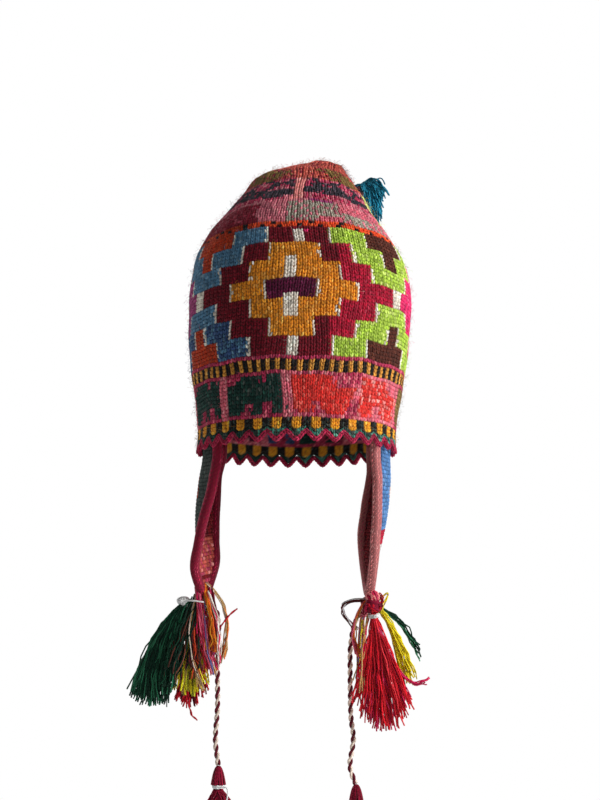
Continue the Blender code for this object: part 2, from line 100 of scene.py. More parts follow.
# How far a flap's cloth lies from the middle plane: z, then at y = -station, 0 and +station
FLAP_STATION = 0.045
LEFT_FLAP = np.array((
    (0.014, 0.0648, 0.0744, 0.0648),
    (-0.006, 0.0648, 0.0745, 0.0649),
    (-0.025, 0.0665, 0.0778, 0.0670),
    (-0.050, 0.0715, 0.0798, 0.0650),
    (-0.075, 0.0765, 0.0778, 0.0610),
    (-0.095, 0.0830, 0.0748, 0.0570),
    (-0.120, 0.0780, 0.0738, 0.0640),
))
RIGHT_FLAP = np.array((
    (0.014, 0.0624, 0.0720, 0.0624),
    (-0.006, 0.0624, 0.0720, 0.0624),
    (-0.025, 0.0620, 0.0722, 0.0600),
    (-0.050, 0.0600, 0.0695, 0.0520),
    (-0.075, 0.0560, 0.0640, 0.0430),
    (-0.095, 0.0560, 0.0580, 0.0450),
    (-0.120, 0.0560, 0.0560, 0.0500),
))
# Outline of a flap: z, y, half span
FLAP_OUTLINE = np.array((
    (0.0090, 0.0000, 0.0430),
    (-0.0060, 0.0000, 0.0430),
    (-0.0200, -0.0005, 0.0420),
    (-0.0380, -0.0010, 0.0395),
    (-0.0560, -0.0015, 0.0350),
    (-0.0720, -0.0020, 0.0300),
    (-0.0860, -0.0025, 0.0240),
    (-0.0980, -0.0030, 0.0165),
    (-0.1060, -0.0030, 0.0095),
    (-0.1095, -0.0030, 0.0035),
))
FLAP_LEVEL_TOP = -0.060
EDGING_WIDTH = 0.0072
EDGING_THICKNESS = 0.0050
EDGING_TUCK = 0.0014
TUCK_TOP = -0.005
TUCK_END = -0.020
TOUCH = 0.0004

# Tie cords
CORD_RADIUS = 0.00215
LEFT_CORD = np.array((
    (-0.0676, -0.0034, -0.1259),
    (-0.0640, -0.0030, -0.1330),
    (-0.0632, -0.0030, -0.1550),
    (-0.0642, -0.0050, -0.1730),
    (-0.0640, -0.0090, -0.2040),
    (-0.0655, -0.0130, -0.2290),
    (-0.0632, -0.0150, -0.2490),
))
RIGHT_CORD = np.array((
    (0.0516, -0.0008, -0.1264),
    (0.0450, 0.0000, -0.1400),
    (0.0420, -0.0020, -0.1570),
    (0.0416, -0.0040, -0.1740),
    (0.0420, -0.0080, -0.2100),
    (0.0440, -0.0110, -0.2290),
    (0.0412, -0.0130, -0.2500),
    (0.0455, -0.0140, -0.2640),
))

# Tassels. colours are the yarns of its strands, each as often as it is named, and strands is
# how many hang in a lock.
Tassel = namedtuple(
    "Tassel", "head size neck first last locks radius swell drop strands slot colours"
)
TASSELS = {
    "left_green_tassel": Tassel(
        (-0.0826, -0.0056, -0.1225), (0.0030, 0.0030, 0.0032), (-0.0885, -0.0075, -0.1225),
        (-0.1320, -0.0100, -0.1950), (-0.1060, -0.0110, -0.2000), 6, 0.0034,
        (-0.0080, -0.0010, 0.0160), 0.0040, 24, "green_yarn",
        ("bottle", "bottle", "bottle", "forest", "forest", "sage"),
    ),
    "left_yellow_tassel": Tassel(
        (-0.0778, -0.0106, -0.1258), (0.0033, 0.0032, 0.0034), (-0.0802, -0.0138, -0.1320),
        (-0.0975, -0.0175, -0.1880), (-0.0735, -0.0205, -0.1830), 5, 0.0033,
        (-0.0030, -0.0020, -0.0060), 0.0080, 13, "yellow_yarn",
        ("lemon", "lemon", "lemon", "tan", "moss"),
    ),
    "left_red_tuft": Tassel(
        (-0.0786, -0.0020, -0.1310), (0.0032, 0.0030, 0.0034), (-0.0815, -0.0015, -0.1380),
        (-0.0960, -0.0050, -0.1990), (-0.0745, -0.0060, -0.1950), 4, 0.0033,
        (-0.0010, 0.0010, -0.0060), 0.0060, 20, "red_yarn",
        ("ruby", "ruby", "wine"),
    ),
    "left_mixed_tassel": Tassel(
        (-0.0711, -0.0088, -0.1290), (0.0032, 0.0030, 0.0034), (-0.0711, -0.0098, -0.1345),
        (-0.0780, -0.0112, -0.1690), (-0.0610, -0.0125, -0.1660), 4, 0.0027,
        (0.0000, -0.0010, 0.0000), 0.0080, 10, "mixed_yarn",
        ("fuchsia", "candy", "tan", "tangerine", "lilac", "fuchsia", "cream", "wine"),
    ),
    "right_red_tassel": Tassel(
        (0.0590, -0.0190, -0.1205), (0.0066, 0.0055, 0.0088), (0.0598, -0.0192, -0.1308),
        (0.0470, -0.0240, -0.1990), (0.0870, -0.0240, -0.2020), 8, 0.0048,
        (0.0010, -0.0020, 0.0040), 0.0190, 20, "red_yarn",
        ("ruby", "poppy", "ruby", "poppy", "fuchsia"),
    ),
    "right_yellow_tassel": Tassel(
        (0.0647, -0.0030, -0.1262), (0.0033, 0.0032, 0.0034), (0.0682, -0.0035, -0.1310),
        (0.0850, -0.0080, -0.1900), (0.0920, -0.0080, -0.1810), 3, 0.0030,
        (0.0030, 0.0000, 0.0040), 0.0010, 11, "yellow_yarn",
        ("lemon",),
    ),
    "right_green_tassel": Tassel(
        (0.0622, 0.0035, -0.1240), (0.0030, 0.0030, 0.0030), (0.0665, 0.0050, -0.1270),
        (0.0980, 0.0040, -0.1690), (0.0965, 0.0040, -0.1600), 2, 0.0022,
        (0.0060, 0.0000, 0.0060), 0.0000, 6, "green_yarn",
        ("bottle", "forest", "sage"),
    ),
    "right_mixed_tassel": Tassel(
        (0.0522, -0.0065, -0.1300), (0.0030, 0.0030, 0.0032), (0.0512, -0.0075, -0.1355),
        (0.0468, -0.0120, -0.1860), (0.0540, -0.0080, -0.1800), 3, 0.0026,
        (0.0000, 0.0000, 0.0000), 0.0030, 8, "mixed_yarn",
        ("candy", "tangerine", "lilac", "tan", "fuchsia", "lemon"),
    ),
    "left_end_tassel": Tassel(
        (-0.0630, -0.0152, -0.2573), (0.0062, 0.0060, 0.0078), (-0.0630, -0.0155, -0.2660),
        (-0.0830, -0.0170, -0.3190), (-0.0430, -0.0170, -0.3190), 6, 0.0060,
        (0.0000, 0.0000, 0.0120), 0.0100, 22, "crimson_yarn",
        ("garnet", "garnet", "wine"),
    ),
    "right_end_tassel": Tassel(
        (0.0461, -0.0142, -0.2722), (0.0062, 0.0060, 0.0078), (0.0458, -0.0145, -0.2812),
        (0.0260, -0.0170, -0.3340), (0.0650, -0.0170, -0.3340), 6, 0.0060,
        (0.0000, 0.0000, 0.0120), 0.0100, 22, "crimson_yarn",
        ("garnet", "garnet", "wine"),
    ),
    "crown_tassel": Tassel(
        (0.0440, 0.0532, 0.2119), (0.0030, 0.0030, 0.0030), (0.0492, 0.0540, 0.2140),
        (0.0710, 0.0460, 0.2100), (0.0640, 0.0460, 0.1925), 5, 0.0036,
        (0.0045, -0.0010, 0.0170), 0.0000, 20, "teal_yarn",
        ("petrol", "petrol", "teal"),
    ),
}
# Loose ends round the knots: start, pull, end, spread, how many, yarns
Bundle = namedtuple("Bundle", "start pull end spread count colours")
LOOSE = {
    "crown_loose_yarn": (
        Bundle((0.0460, 0.0530, 0.2140), (0.0570, 0.0500, 0.2240),
               (0.0580, 0.0420, 0.1930), 0.0038, 46, ("petrol", "teal", "petrol")),
        Bundle((0.0470, 0.0530, 0.2140), (0.0640, 0.0500, 0.2250),
               (0.0650, 0.0450, 0.1890), 0.0036, 40, ("petrol", "petrol", "teal")),
    ),
    "left_loose_yarn": (
        Bundle((-0.0790, -0.0145, -0.1060), (-0.0760, -0.0215, -0.1420),
               (-0.0715, -0.0165, -0.1740), 0.0042, 32, ("candy", "fuchsia", "ruby", "candy")),
        Bundle((-0.0740, -0.0150, -0.1070), (-0.0660, -0.0220, -0.1400),
               (-0.0665, -0.0210, -0.1560), 0.0026, 9, ("tangerine", "tangerine", "marigold")),
        Bundle((-0.0740, -0.0150, -0.1150), (-0.0760, -0.0230, -0.1500),
               (-0.0655, -0.0190, -0.1760), 0.0014, 5, ("marigold", "lilac", "tan")),
        Bundle((-0.0700, -0.0125, -0.1080), (-0.0640, -0.0170, -0.1330),
               (-0.0672, -0.0120, -0.1590), 0.0034, 20, ("maroon", "garnet", "fuchsia", "mauve")),
        Bundle((-0.0710, -0.0180, -0.1120), (-0.0600, -0.0290, -0.1330),
               (-0.0622, -0.0200, -0.1680), 0.0016, 6, ("cream", "blush", "cream", "fuchsia")),
        Bundle((-0.0720, -0.0125, -0.1060), (-0.0480, -0.0160, -0.1240),
               (-0.0600, -0.0130, -0.1660), 0.0024, 9, ("tan", "cream", "tan", "tangerine")),
        Bundle((-0.0800, -0.0140, -0.1120), (-0.0940, -0.0270, -0.1520),
               (-0.0740, -0.0260, -0.1880), 0.0020, 4, ("tan", "cream", "tan")),
        Bundle((-0.0780, -0.0120, -0.1160), (-0.0820, -0.0205, -0.1450),
               (-0.0830, -0.0215, -0.1740), 0.0052, 34, ("brown", "maroon", "forest", "rust")),
        Bundle((-0.0810, -0.0125, -0.1190), (-0.0900, -0.0200, -0.1400),
               (-0.0980, -0.0215, -0.1720), 0.0068, 46, ("forest", "bottle", "forest", "brown")),
        Bundle((-0.0870, -0.0110, -0.1220), (-0.0970, -0.0150, -0.1450),
               (-0.1030, -0.0170, -0.1860), 0.0062, 44, ("forest", "bottle", "bottle", "sage")),
        Bundle((-0.0650, -0.0140, -0.1500), (-0.0610, -0.0180, -0.1330),
               (-0.0480, -0.0170, -0.1250), 0.0004, 2, ("ruby", "ruby")),
        Bundle((-0.0860, -0.0180, -0.1950), (-0.0880, -0.0180, -0.2060),
               (-0.0800, -0.0180, -0.2130), 0.0006, 2, ("ruby", "ruby")),
    ),
    "right_loose_yarn": (
        Bundle((0.0600, -0.0150, -0.1230), (0.0800, -0.0120, -0.1000),
               (0.0640, -0.0160, -0.1290), 0.0010, 3, ("lemon", "lemon", "tan")),
        Bundle((0.0540, -0.0110, -0.1190), (0.0200, -0.0110, -0.1180),
               (0.0470, -0.0120, -0.1420), 0.0018, 6, ("maroon", "chalk", "brown", "maroon")),
        Bundle((0.0530, -0.0130, -0.1200), (0.0380, -0.0160, -0.1400),
               (0.0480, -0.0170, -0.1620), 0.0022, 10, ("candy", "tangerine", "tan", "fuchsia")),
        Bundle((0.0560, -0.0150, -0.1130), (0.0530, -0.0190, -0.1180),
               (0.0610, -0.0200, -0.1250), 0.0022, 9, ("border_pink", "garnet", "wine")),
        Bundle((0.0640, -0.0150, -0.1140), (0.0700, -0.0180, -0.1180),
               (0.0610, -0.0200, -0.1260), 0.0020, 7, ("garnet", "wine", "ruby")),
        Bundle((0.0790, -0.0220, -0.1730), (0.0900, -0.0230, -0.1880),
               (0.1030, -0.0220, -0.1800), 0.0026, 5, ("fuchsia", "fuchsia", "garnet")),
        Bundle((0.0560, -0.0170, -0.1300), (0.0500, -0.0240, -0.1500),
               (0.0500, -0.0260, -0.1900), 0.0018, 7, ("tan", "tangerine", "fuchsia")),
    ),
}
# Points along a tassel's strand, a loose one, a turn round a ball, a strand over a head, a
# binding, its ends and a fibre
STRAND_POINTS = 12
LOOSE_POINTS = 14
TURN_POINTS = 26
DRAPED_POINTS = 10
TIE_POINTS = 60
TIE_END_POINTS = 14
FIBRE_POINTS = 4
# A neck's radius where nothing binds it, and where its locks start between head and neck
NECK_RADIUS = 0.0027
LOCK_START = 1.2
# How far strands' ends spread along the tassel's foot, how much longer or shorter they are, and
# how much smaller than its ring a tied neck is
LOCK_SPREAD = 0.0012
STRAND_LONGER = (-0.0060, 0.0012)
TIE_DEPTH = 0.0012
# Yarns of the tassels' heads, where they differ from the strands'
HEAD_YARNS = {
    "left_green_tassel": ("bottle", "garnet", "bottle", "maroon"),
    "left_yellow_tassel": ("garnet", "tan", "maroon", "border_red"),
    "left_red_tuft": ("wine", "garnet", "fuchsia"),
    "left_mixed_tassel": ("maroon", "cream", "fuchsia", "tangerine"),
    "right_red_tassel": ("garnet", "garnet", "wine", "ruby"),
    "right_mixed_tassel": ("maroon", "candy", "wine"),
}
# The right red tassel's head, two balls: height over its middle, size, turns, yarn radius, yarns
DOUBLE_HEAD = (
    (0.0050, (0.0052, 0.0046, 0.0050), 9, 0.0012, ("border_pink", "garnet", "border_red")),
    (-0.0030, (0.0072, 0.0056, 0.0048), 11, 0.0012, HEAD_YARNS["right_red_tassel"]),
)
# How far strands wave to the side, where it differs from the usual
USUAL_WAVE = 0.0008
WAVES = {
    "left_green_tassel": 0.0019,
    "right_red_tassel": 0.0014,
    "right_yellow_tassel": 0.0014,
    "crown_tassel": 0.0015,
    "left_mixed_tassel": 0.0013,
    "right_green_tassel": 0.0017,
    "left_end_tassel": 0.0006,
    "right_end_tassel": 0.0006,
}
# Yarn bound round a tassel's neck: tassel, ring radius
TIES = {
    "left_tie": ("left_green_tassel", 0.0049),
    "right_tie": ("right_red_tassel", 0.0045),
    "left_end_tie": ("left_end_tassel", 0.0052),
    "right_end_tie": ("right_end_tassel", 0.0052),
}
# The knot in each of those yarns: place from the neck, size, and each hanging end's bend and tip
TIE_KNOTS = {
    "left_tie": (
        (-0.0022, -0.0050, 0.0030), (0.0050, 0.0026, 0.0032),
        (((0.0070, -0.0082, 0.0012), (0.0165, -0.0112, 0.0004)),),
    ),
    "right_tie": ((0.0010, -0.0046, 0.0002), (0.0018, 0.0010, 0.0012), ()),
    "left_end_tie": (
        (-0.0005, -0.0054, 0.0005), (0.0016, 0.0012, 0.0014),
        (((0.0080, -0.0030, -0.0010), (0.0060, -0.0050, -0.0180)),),
    ),
    "right_end_tie": (
        (0.0008, -0.0054, 0.0004), (0.0016, 0.0012, 0.0014),
        (((-0.0060, -0.0030, -0.0030), (-0.0040, -0.0050, -0.0150)),),
    ),
}
# Knots at the flaps' tips: centre, size, yarns
KNOTS = {
    "left_knot": (
        (-0.0742, -0.0030, -0.1226), (0.0062, 0.0060, 0.0056),
        ("border_red", "fuchsia", "cream", "tan", "maroon", "candy"),
    ),
    "right_knot": (
        (0.0560, -0.0030, -0.1222), (0.0058, 0.0056, 0.0052),
        ("border_pink", "ruby", "maroon", "candy"),
    ),
}

# Gauge of the knit: stitches in a round, a row's height, a stitch's width
ROUND = 132
ROW_HEIGHT = 0.00292
STITCH_WIDTH = 0.0042
# Bands of the crown, each as its first row and the first row past it
RIM_ROWS = (2, 5)
PANEL_ROWS = (5, 17)
CHECK_ROWS = (17, 20)
DIAMOND_ROWS = (21, 56)
ORANGE_ROWS = (56, 58)
HEATHER_ROWS = (58, 67)
ZIGZAG_ROWS = (67, 78)
OLIVE_ROWS = (78, 88)
TIP_ROW = 98

# Yarns: colour, fleck colour and the share of fleck, colours as sRGB from 0 to 255
Yarn = namedtuple("Yarn", "colour fleck share")
YARNS = {
    # The first yarn is the crimson painted in shade, for the hat's left side, away from the light
    "burgundy": Yarn((114, 18, 34), (140, 34, 50), 0.20),
    "crimson": Yarn((176, 24, 54), (200, 60, 84), 0.18),
    "golden": Yarn((224, 140, 36), (240, 176, 84), 0.30),
    "white": Yarn((240, 230, 216), (206, 196, 182), 0.25),
    "purple": Yarn((88, 17, 52), (120, 40, 80), 0.25),
    "blue": Yarn((84, 128, 160), (128, 160, 180), 0.25),
    "deep_blue": Yarn((58, 84, 128), (84, 112, 150), 0.25),
    "rust": Yarn((188, 58, 26), (206, 92, 50), 0.25),
    "lime": Yarn((170, 200, 70), (206, 222, 124), 0.35),
    "brown": Yarn((84, 40, 30), (116, 66, 50), 0.25),
    "hot_pink": Yarn((226, 46, 108), (240, 100, 146), 0.20),
    "mauve": Yarn((160, 60, 116), (190, 96, 146), 0.25),
    "black": Yarn((26, 24, 24), (48, 46, 44), 0.30),
    "marigold": Yarn((238, 160, 42), (246, 186, 84), 0.25),
    "ochre": Yarn((216, 150, 62), (232, 176, 96), 0.25),
    "raspberry": Yarn((176, 50, 84), (226, 118, 132), 0.28),
    "rose": Yarn((220, 104, 122), (240, 160, 164), 0.38),
    "blush": Yarn((236, 140, 142), (244, 178, 172), 0.40),
    "scarlet": Yarn((224, 54, 48), (238, 110, 98), 0.32),
    "fir": Yarn((22, 56, 50), (46, 90, 78), 0.32),
    "sea": Yarn((66, 134, 118), (112, 170, 150), 0.35),
    "orange": Yarn((234, 76, 36), (244, 116, 62), 0.30),
    "wine_heather": Yarn((136, 26, 48), (196, 96, 112), 0.20),
    "dusty": Yarn((202, 108, 124), (226, 150, 156), 0.35),
    "stone": Yarn((156, 150, 134), (190, 178, 164), 0.35),
    "charcoal": Yarn((46, 46, 54), (102, 84, 96), 0.34),
    "salmon": Yarn((238, 142, 138), (246, 176, 166), 0.30),
    "olive": Yarn((118, 92, 50), (158, 128, 72), 0.40),
    "coral": Yarn((190, 80, 70), (214, 122, 100), 0.35),
    "pistachio": Yarn((204, 208, 122), (224, 224, 158), 0.35),
    "petrol": Yarn((20, 120, 150), (48, 150, 176), 0.32),
    "teal": Yarn((42, 144, 172), (80, 170, 196), 0.30),
    "magenta": Yarn((176, 34, 72), (204, 72, 102), 0.25),
    "slate_green": Yarn((54, 66, 62), (88, 98, 92), 0.35),
    "sky": Yarn((78, 124, 178), (124, 160, 200), 0.28),
    "pale_grey": Yarn((196, 190, 186), (216, 212, 206), 0.35),
    "dark_red": Yarn((112, 12, 24), (146, 28, 40), 0.25),
    "border_red": Yarn((190, 28, 70), (222, 80, 112), 0.30),
    "border_pink": Yarn((252, 138, 138), (255, 190, 184), 0.30),
    "bottle": Yarn((6, 56, 38), (12, 78, 50), 0.30),
    "forest": Yarn((4, 42, 30), (12, 60, 44), 0.30),
    "sage": Yarn((44, 118, 84), (80, 146, 110), 0.30),
    "lemon": Yarn((228, 208, 26), (240, 226, 70), 0.30),
    "moss": Yarn((128, 132, 30), (158, 160, 50), 0.30),
    "tan": Yarn((190, 150, 96), (214, 182, 130), 0.30),
    "tangerine": Yarn((232, 106, 30), (244, 140, 60), 0.25),
    "candy": Yarn((226, 96, 122), (240, 140, 156), 0.30),
    "fuchsia": Yarn((204, 30, 84), (222, 66, 116), 0.25),
    "lilac": Yarn((124, 116, 176), (154, 148, 200), 0.25),
    "ruby": Yarn((184, 8, 30), (212, 28, 48), 0.30),
    "poppy": Yarn((222, 24, 40), (236, 60, 70), 0.30),
    "garnet": Yarn((142, 10, 46), (168, 28, 66), 0.30),
    "wine": Yarn((96, 12, 30), (122, 26, 46), 0.30),
    "cream": Yarn((232, 212, 196), (242, 228, 214), 0.35),
    "maroon": Yarn((96, 20, 34), (128, 40, 54), 0.30),
    "chalk": Yarn((252, 252, 250), (255, 255, 255), 0.40),
}
YARN_KEYS = list(YARNS)


# How much of the fleck's colour plain yarn takes up, and how far its brightness strays
FAINT_FLECK = 0.12
UNEVEN = 0.10


def yarn_setting(key, yarn):
    """A colour setting for one yarn."""
    words = key.replace("_", " ")
    return bpy.props.FloatVectorProperty(
        name=words.capitalize(),
        description=f"Colour of the {words} yarn",
        subtype="COLOR_GAMMA",
        size=3,
        min=0.0,
        max=1.0,
        default=[channel / 255 for channel in yarn.colour],
    )


class HatYarns(bpy.types.PropertyGroup):
    """Colours of the hat's yarns."""

    __annotations__ = {key: yarn_setting(key, yarn) for key, yarn in YARNS.items()}


class HatSizes(bpy.types.PropertyGroup):
    """Sizes of the hat's yarn and stitches."""

    relief: bpy.props.FloatProperty(
        name="Stitch relief", description="Height of a stitch over the cloth under it",
        default=0.0014, min=0.0004, max=0.003, unit="LENGTH",
    )
    proud: bpy.props.FloatProperty(
        name="Stitch top", description="How far a stitch's top stands over the plain solid",
        default=0.0005, min=0.0, max=0.002, unit="LENGTH",
    )
    strand: bpy.props.FloatProperty(
        name="Tassel yarn", description="Radius of a strand of a tassel",
        default=0.00052, min=0.0002, max=0.002, unit="LENGTH",
    )
    twist: bpy.props.FloatProperty(
        name="Cord twist", description="Length of one turn of the tie cords' two strands",
        default=0.0118, min=0.004, max=0.04, unit="LENGTH",
    )
    fibres: bpy.props.IntProperty(
        name="Loose fibres", description="Number of loose fibres that stand off the crown",
        default=4800, min=0, max=8000,
    )


def sizes():
    """The hat's size settings."""
    return bpy.context.scene.hat_sizes


def linear(colour):
    """Linear values of sRGB values, as arrays."""
    colour = np.asarray(colour, float)
    return np.where(colour <= 0.04045, colour / 12.92, ((colour + 0.055) / 1.055) ** 2.4)


def yarn_colours(index, rng):
    """Linear colours of pieces of yarn, each mixed at random with its yarn's fleck colour."""
    index = np.ravel(index)
    settings = bpy.context.scene.hat_yarns
    plain = np.array([getattr(settings, key)[:] for key in YARN_KEYS])
    fleck = np.array([yarn.fleck for yarn in YARNS.values()]) / 255
    share = np.array([yarn.share for yarn in YARNS.values()])
    draw = rng.random(len(index))
    mix = np.where(draw < share[index], rng.random(len(index)), FAINT_FLECK * draw)[:, None]
    bright = 1 + UNEVEN * rng.standard_normal(len(index)).clip(-2, 2)[:, None]
    mixed = plain[index] * (1 - mix) + fleck[index] * mix
    return linear((mixed * bright).clip(0, 1))


def keys_to_index(names):
    """Places of yarn names in the list of yarns."""
    return np.array([YARN_KEYS.index(name) for name in names])


# Curves and surfaces as whole arrays


def cubic(before, start, end, after, t):
    """Value at t between start and end on the cubic whose slopes are half the outer runs."""
    slope_in = 0.5 * (end - before)
    slope_out = 0.5 * (after - start)
    run = end - start
    bend = 3.0 * run - 2.0 * slope_in - slope_out
    return start + t * (slope_in + t * (bend + t * (slope_in + slope_out - 2.0 * run)))


def table_at(table, place):
    """Rows of a table at real places, where 1.5 is halfway from row 1 to row 2."""
    index = np.clip(np.floor(place).astype(int), 0, len(table) - 2)
    rows = [table[np.clip(index + k, 0, len(table) - 1)] for k in (-1, 0, 1, 2)]
    return cubic(*rows, (place - index)[..., None])


def smooth_route(points, count):
    """count points, evenly spaced, on the cubic through a route's points."""
    ends = np.vstack([2 * points[0] - points[1], points, 2 * points[-1] - points[-2]])
    fine = table_at(ends, np.linspace(1, len(points), 40 * len(points)))
    arc = arc_lengths(fine)
    return at_arc(fine, arc, np.linspace(0, arc[-1], count))


def arc_lengths(path):
    """Distance along a path at each of its points."""
    return np.concatenate([[0], np.cumsum(np.linalg.norm(np.diff(path, axis=0), axis=1))])


def at_arc(path, arc, distance):
    """Points at distances along a path, which runs straight on past its ends."""
    distance = np.asarray(distance, float)
    inside = distance.clip(arc[0], arc[-1])
    found = np.stack([np.interp(inside, arc, axis) for axis in path.T], -1)
    first = (path[1] - path[0]) / (arc[1] - arc[0])
    last = (path[-1] - path[-2]) / (arc[-1] - arc[-2])
    found += np.minimum(distance - arc[0], 0)[..., None] * first
    return found + np.maximum(distance - arc[-1], 0)[..., None] * last


def unit(vectors):
    """Vectors made one long."""
    return vectors / np.linalg.norm(vectors, axis=-1, keepdims=True).clip(1e-12)


def circle(angle, first, second):
    """Points of a circle: the angle's cosine by one direction plus its sine by the other."""
    return np.cos(angle)[..., None] * first + np.sin(angle)[..., None] * second


def parabola(start, pull, end, t):
    """Parabolas from their starts to their ends, drawn towards the points between them."""
    return (1 - t) ** 2 * start[:, None] + 2 * t * (1 - t) * pull[:, None] + t * t * end[:, None]


def grid(rows, columns):
    """Two arrays that give each point of a grid its row's and its column's value."""
    return np.meshgrid(rows, columns, indexing="ij")


def scallop(angle):
    """1 at a scallop's low point and 0 at its high point: a triangle wave, a little rounded."""
    turn = angle * SCALLOPS / (2 * np.pi)
    triangle = 2 * np.abs(turn - np.floor(turn) - 0.5)
    return 0.55 * triangle + 0.45 * (0.5 + 0.5 * np.cos(2 * np.pi * turn))


def rim_edge(wave):
    """How far the rim's edge stands along the crown, by how low its scallop is."""
    return SCALLOP_LOW * wave + SCALLOP_HIGH * (1 - wave)


def dents(angle, z):
    """How far the dents press the knit in: a bell of each dent's depth and spread."""
    total = np.zeros_like(z)
    for place, height, spread, depth in DENTS:
        away = (angle - math.radians(place) + np.pi) % (2 * np.pi) - np.pi
        total += depth * np.exp(-((DENT_REACH * away) ** 2 + (z - height) ** 2) / spread**2)
    return total


def crown_section(station, angle, out=0.0, along=0.0):
    """A point of the crown at a real place in the section table.

    The section's centre, plus its half width by the sine of the angle across, less its half
    depth by the cosine back, plus a shift along its axis.
    """
    x, y, z, lean, turn, wide, deep = np.moveaxis(table_at(CROWN, station), -1, 0)
    lean, turn = np.radians(lean), np.radians(turn)
    zero = np.zeros_like(lean)
    width = np.stack([np.cos(turn), -np.sin(turn), zero], -1)
    back = np.stack([np.sin(turn), np.cos(turn), zero], -1)
    up = np.array((0.0, 0.0, 1.0))
    cos_lean, sin_lean = np.cos(lean)[..., None], np.sin(lean)[..., None]
    depth = cos_lean * back - sin_lean * up
    length = sin_lean * back + cos_lean * up
    out = out - dents(angle, z)
    across = ((wide + out) * np.sin(angle))[..., None] * width
    behind = (-(deep + out) * np.cos(angle))[..., None] * depth
    return np.stack([x, y, z], -1) + across + behind + np.asarray(along)[..., None] * length


# Rows of the crown are even along its front, which this table of stations gives
FINE_STATIONS = np.linspace(0, len(CROWN) - 1, 700)
FRONT_ARC = arc_lengths(crown_section(FINE_STATIONS, np.zeros_like(FINE_STATIONS)))
ROWS = int(FRONT_ARC[-1] / ROW_HEIGHT)


def row_station(row):
    """The place in the section table of a row of the crown, which may lie between rows."""
    arc = np.asarray(row, float) * ROW_HEIGHT
    low = np.minimum(arc, 0) * FINE_STATIONS[1] / FRONT_ARC[1]
    return np.interp(arc, FRONT_ARC, FINE_STATIONS) + low


# How far stitches sway along a row and stray off it, in stitches, and how far the face swells
SWAY = (0.20, 0.16)
STRAY = 0.16
SWELL = 0.0005


def crown_surface(column, row):
    """The crown's face. A column is a 132nd of a turn, and column 0 starts at the front.

    Near the rim the rows wave with the scallops: the wave fades out over the first course.
    Above it the columns and rows wander a little, by sines of the angle and the row, and the
    face swells and dips by half a millimetre.
    """
    start = column * 2 * np.pi / ROUND
    free = ((row - 3) / 5).clip(0, 1)
    sway = SWAY[0] * np.sin(0.31 * row + 5 * start) + SWAY[1] * np.sin(0.17 * row - 11 * start)
    angle = (column + free * sway) * 2 * np.pi / ROUND
    row = row + free * STRAY * (np.sin(7 * start + 0.2 * row) + np.sin(16 * start - 0.1 * row))
    swell = SWELL * free * np.sin(9 * start + 0.21 * row) * np.sin(0.33 * row - 4 * start)
    fade = (1 - row * ROW_HEIGHT / RIM_COURSE).clip(0, 1)
    wave = scallop(angle)
    out = SCALLOP_FLARE * wave * fade + swell
    return crown_section(row_station(row), angle, out, rim_edge(wave) * fade)


def flap_surface(side, table, facing):
    """A function for the cloth of a flap, with columns across it and rows up from its tip.

    facing is 1 for the outer face and -1 for the inner face, which runs the other way.
    """

    def surface(column, row):
        y = side * facing * column * STITCH_WIDTH
        return flap_point(side, table, y, leaned(row * ROW_HEIGHT, y))

    return surface


def leaned(level, y):
    """The height of a flap's point: its level, which leans like the rim towards the top."""
    share = ((level - FLAP_LEVEL_TOP) / -FLAP_LEVEL_TOP).clip(0, 1)
    return level - share * y * math.tan(RIM_LEAN)


def flap_point(side, table, y, z):
    """A point of a flap's cloth, from its y and z.

    Its reach from the middle plane is the parabola in y through a table row's three values.
    """
    place = np.interp(-z, -table[:, 0], np.arange(len(table)))
    front, middle, back = np.moveaxis(table_at(table[:, 1:], place), -1, 0)
    s = y / FLAP_STATION
    reach = middle + s * (back - front) / 2 + s * s * ((front + back) / 2 - middle)
    return np.stack([side * reach, y, z], -1)


def tube_surface(path, wide_way, thick_way, half_wide, half_thick, columns, pitch, phase=0.0):
    """A function for the face of a tube, with columns round it and rows along it.

    A point is the path's point plus an ellipse of two half widths along two directions.
    """
    arc = arc_lengths(path)

    def surface(column, row):
        angle = (column + phase) * 2 * np.pi / columns
        distance = row * pitch
        flat = unit(at_arc(wide_way, arc, distance))
        out = unit(at_arc(thick_way, arc, distance))
        ring = half_wide * np.cos(angle)[..., None] * flat
        return at_arc(path, arc, distance) + ring + half_thick * np.sin(angle)[..., None] * out

    return surface


def placed(surface, column, row, height):
    """Points of a surface raised by heights along its normal.

    The normal is the cross product of short steps along the columns and up the rows.
    """
    step = 0.02
    across = surface(column + step, row) - surface(column - step, row)
    upward = surface(column, row + step) - surface(column, row - step)
    normal = unit(np.cross(across, upward))
    return surface(column, row) + np.asarray(height)[..., None] * normal


# Meshes


def make_mesh(name, points, faces, colours, uv):
    """A mesh from arrays: faces is a list of arrays of corners, one for each corner count."""
    groups = [np.asarray(group, np.int32) for group in faces if len(group)]
    totals = np.concatenate([np.full(len(group), group.shape[1]) for group in groups])
    corners = np.concatenate([group.ravel() for group in groups])
    mesh = bpy.data.meshes.new(name)
    mesh.vertices.add(len(points))
    mesh.vertices.foreach_set("co", np.asarray(points, np.float32).ravel())
    mesh.loops.add(len(corners))
    mesh.loops.foreach_set("vertex_index", corners)
    mesh.polygons.add(len(totals))
    mesh.polygons.foreach_set("loop_start", np.cumsum(totals) - totals)
    mesh.polygons.foreach_set("loop_total", totals)
    mesh.update(calc_edges=True)
    paint = mesh.color_attributes.new("yarn", "FLOAT_COLOR", "POINT")
    paint.data.foreach_set("color", np.column_stack([colours, np.ones(len(points))]).ravel())
    layer = mesh.uv_layers.new(name="along_yarn")
    layer.uv.foreach_set("vector", np.asarray(uv, np.float32)[corners].ravel())
    mesh.shade_smooth()
    return mesh


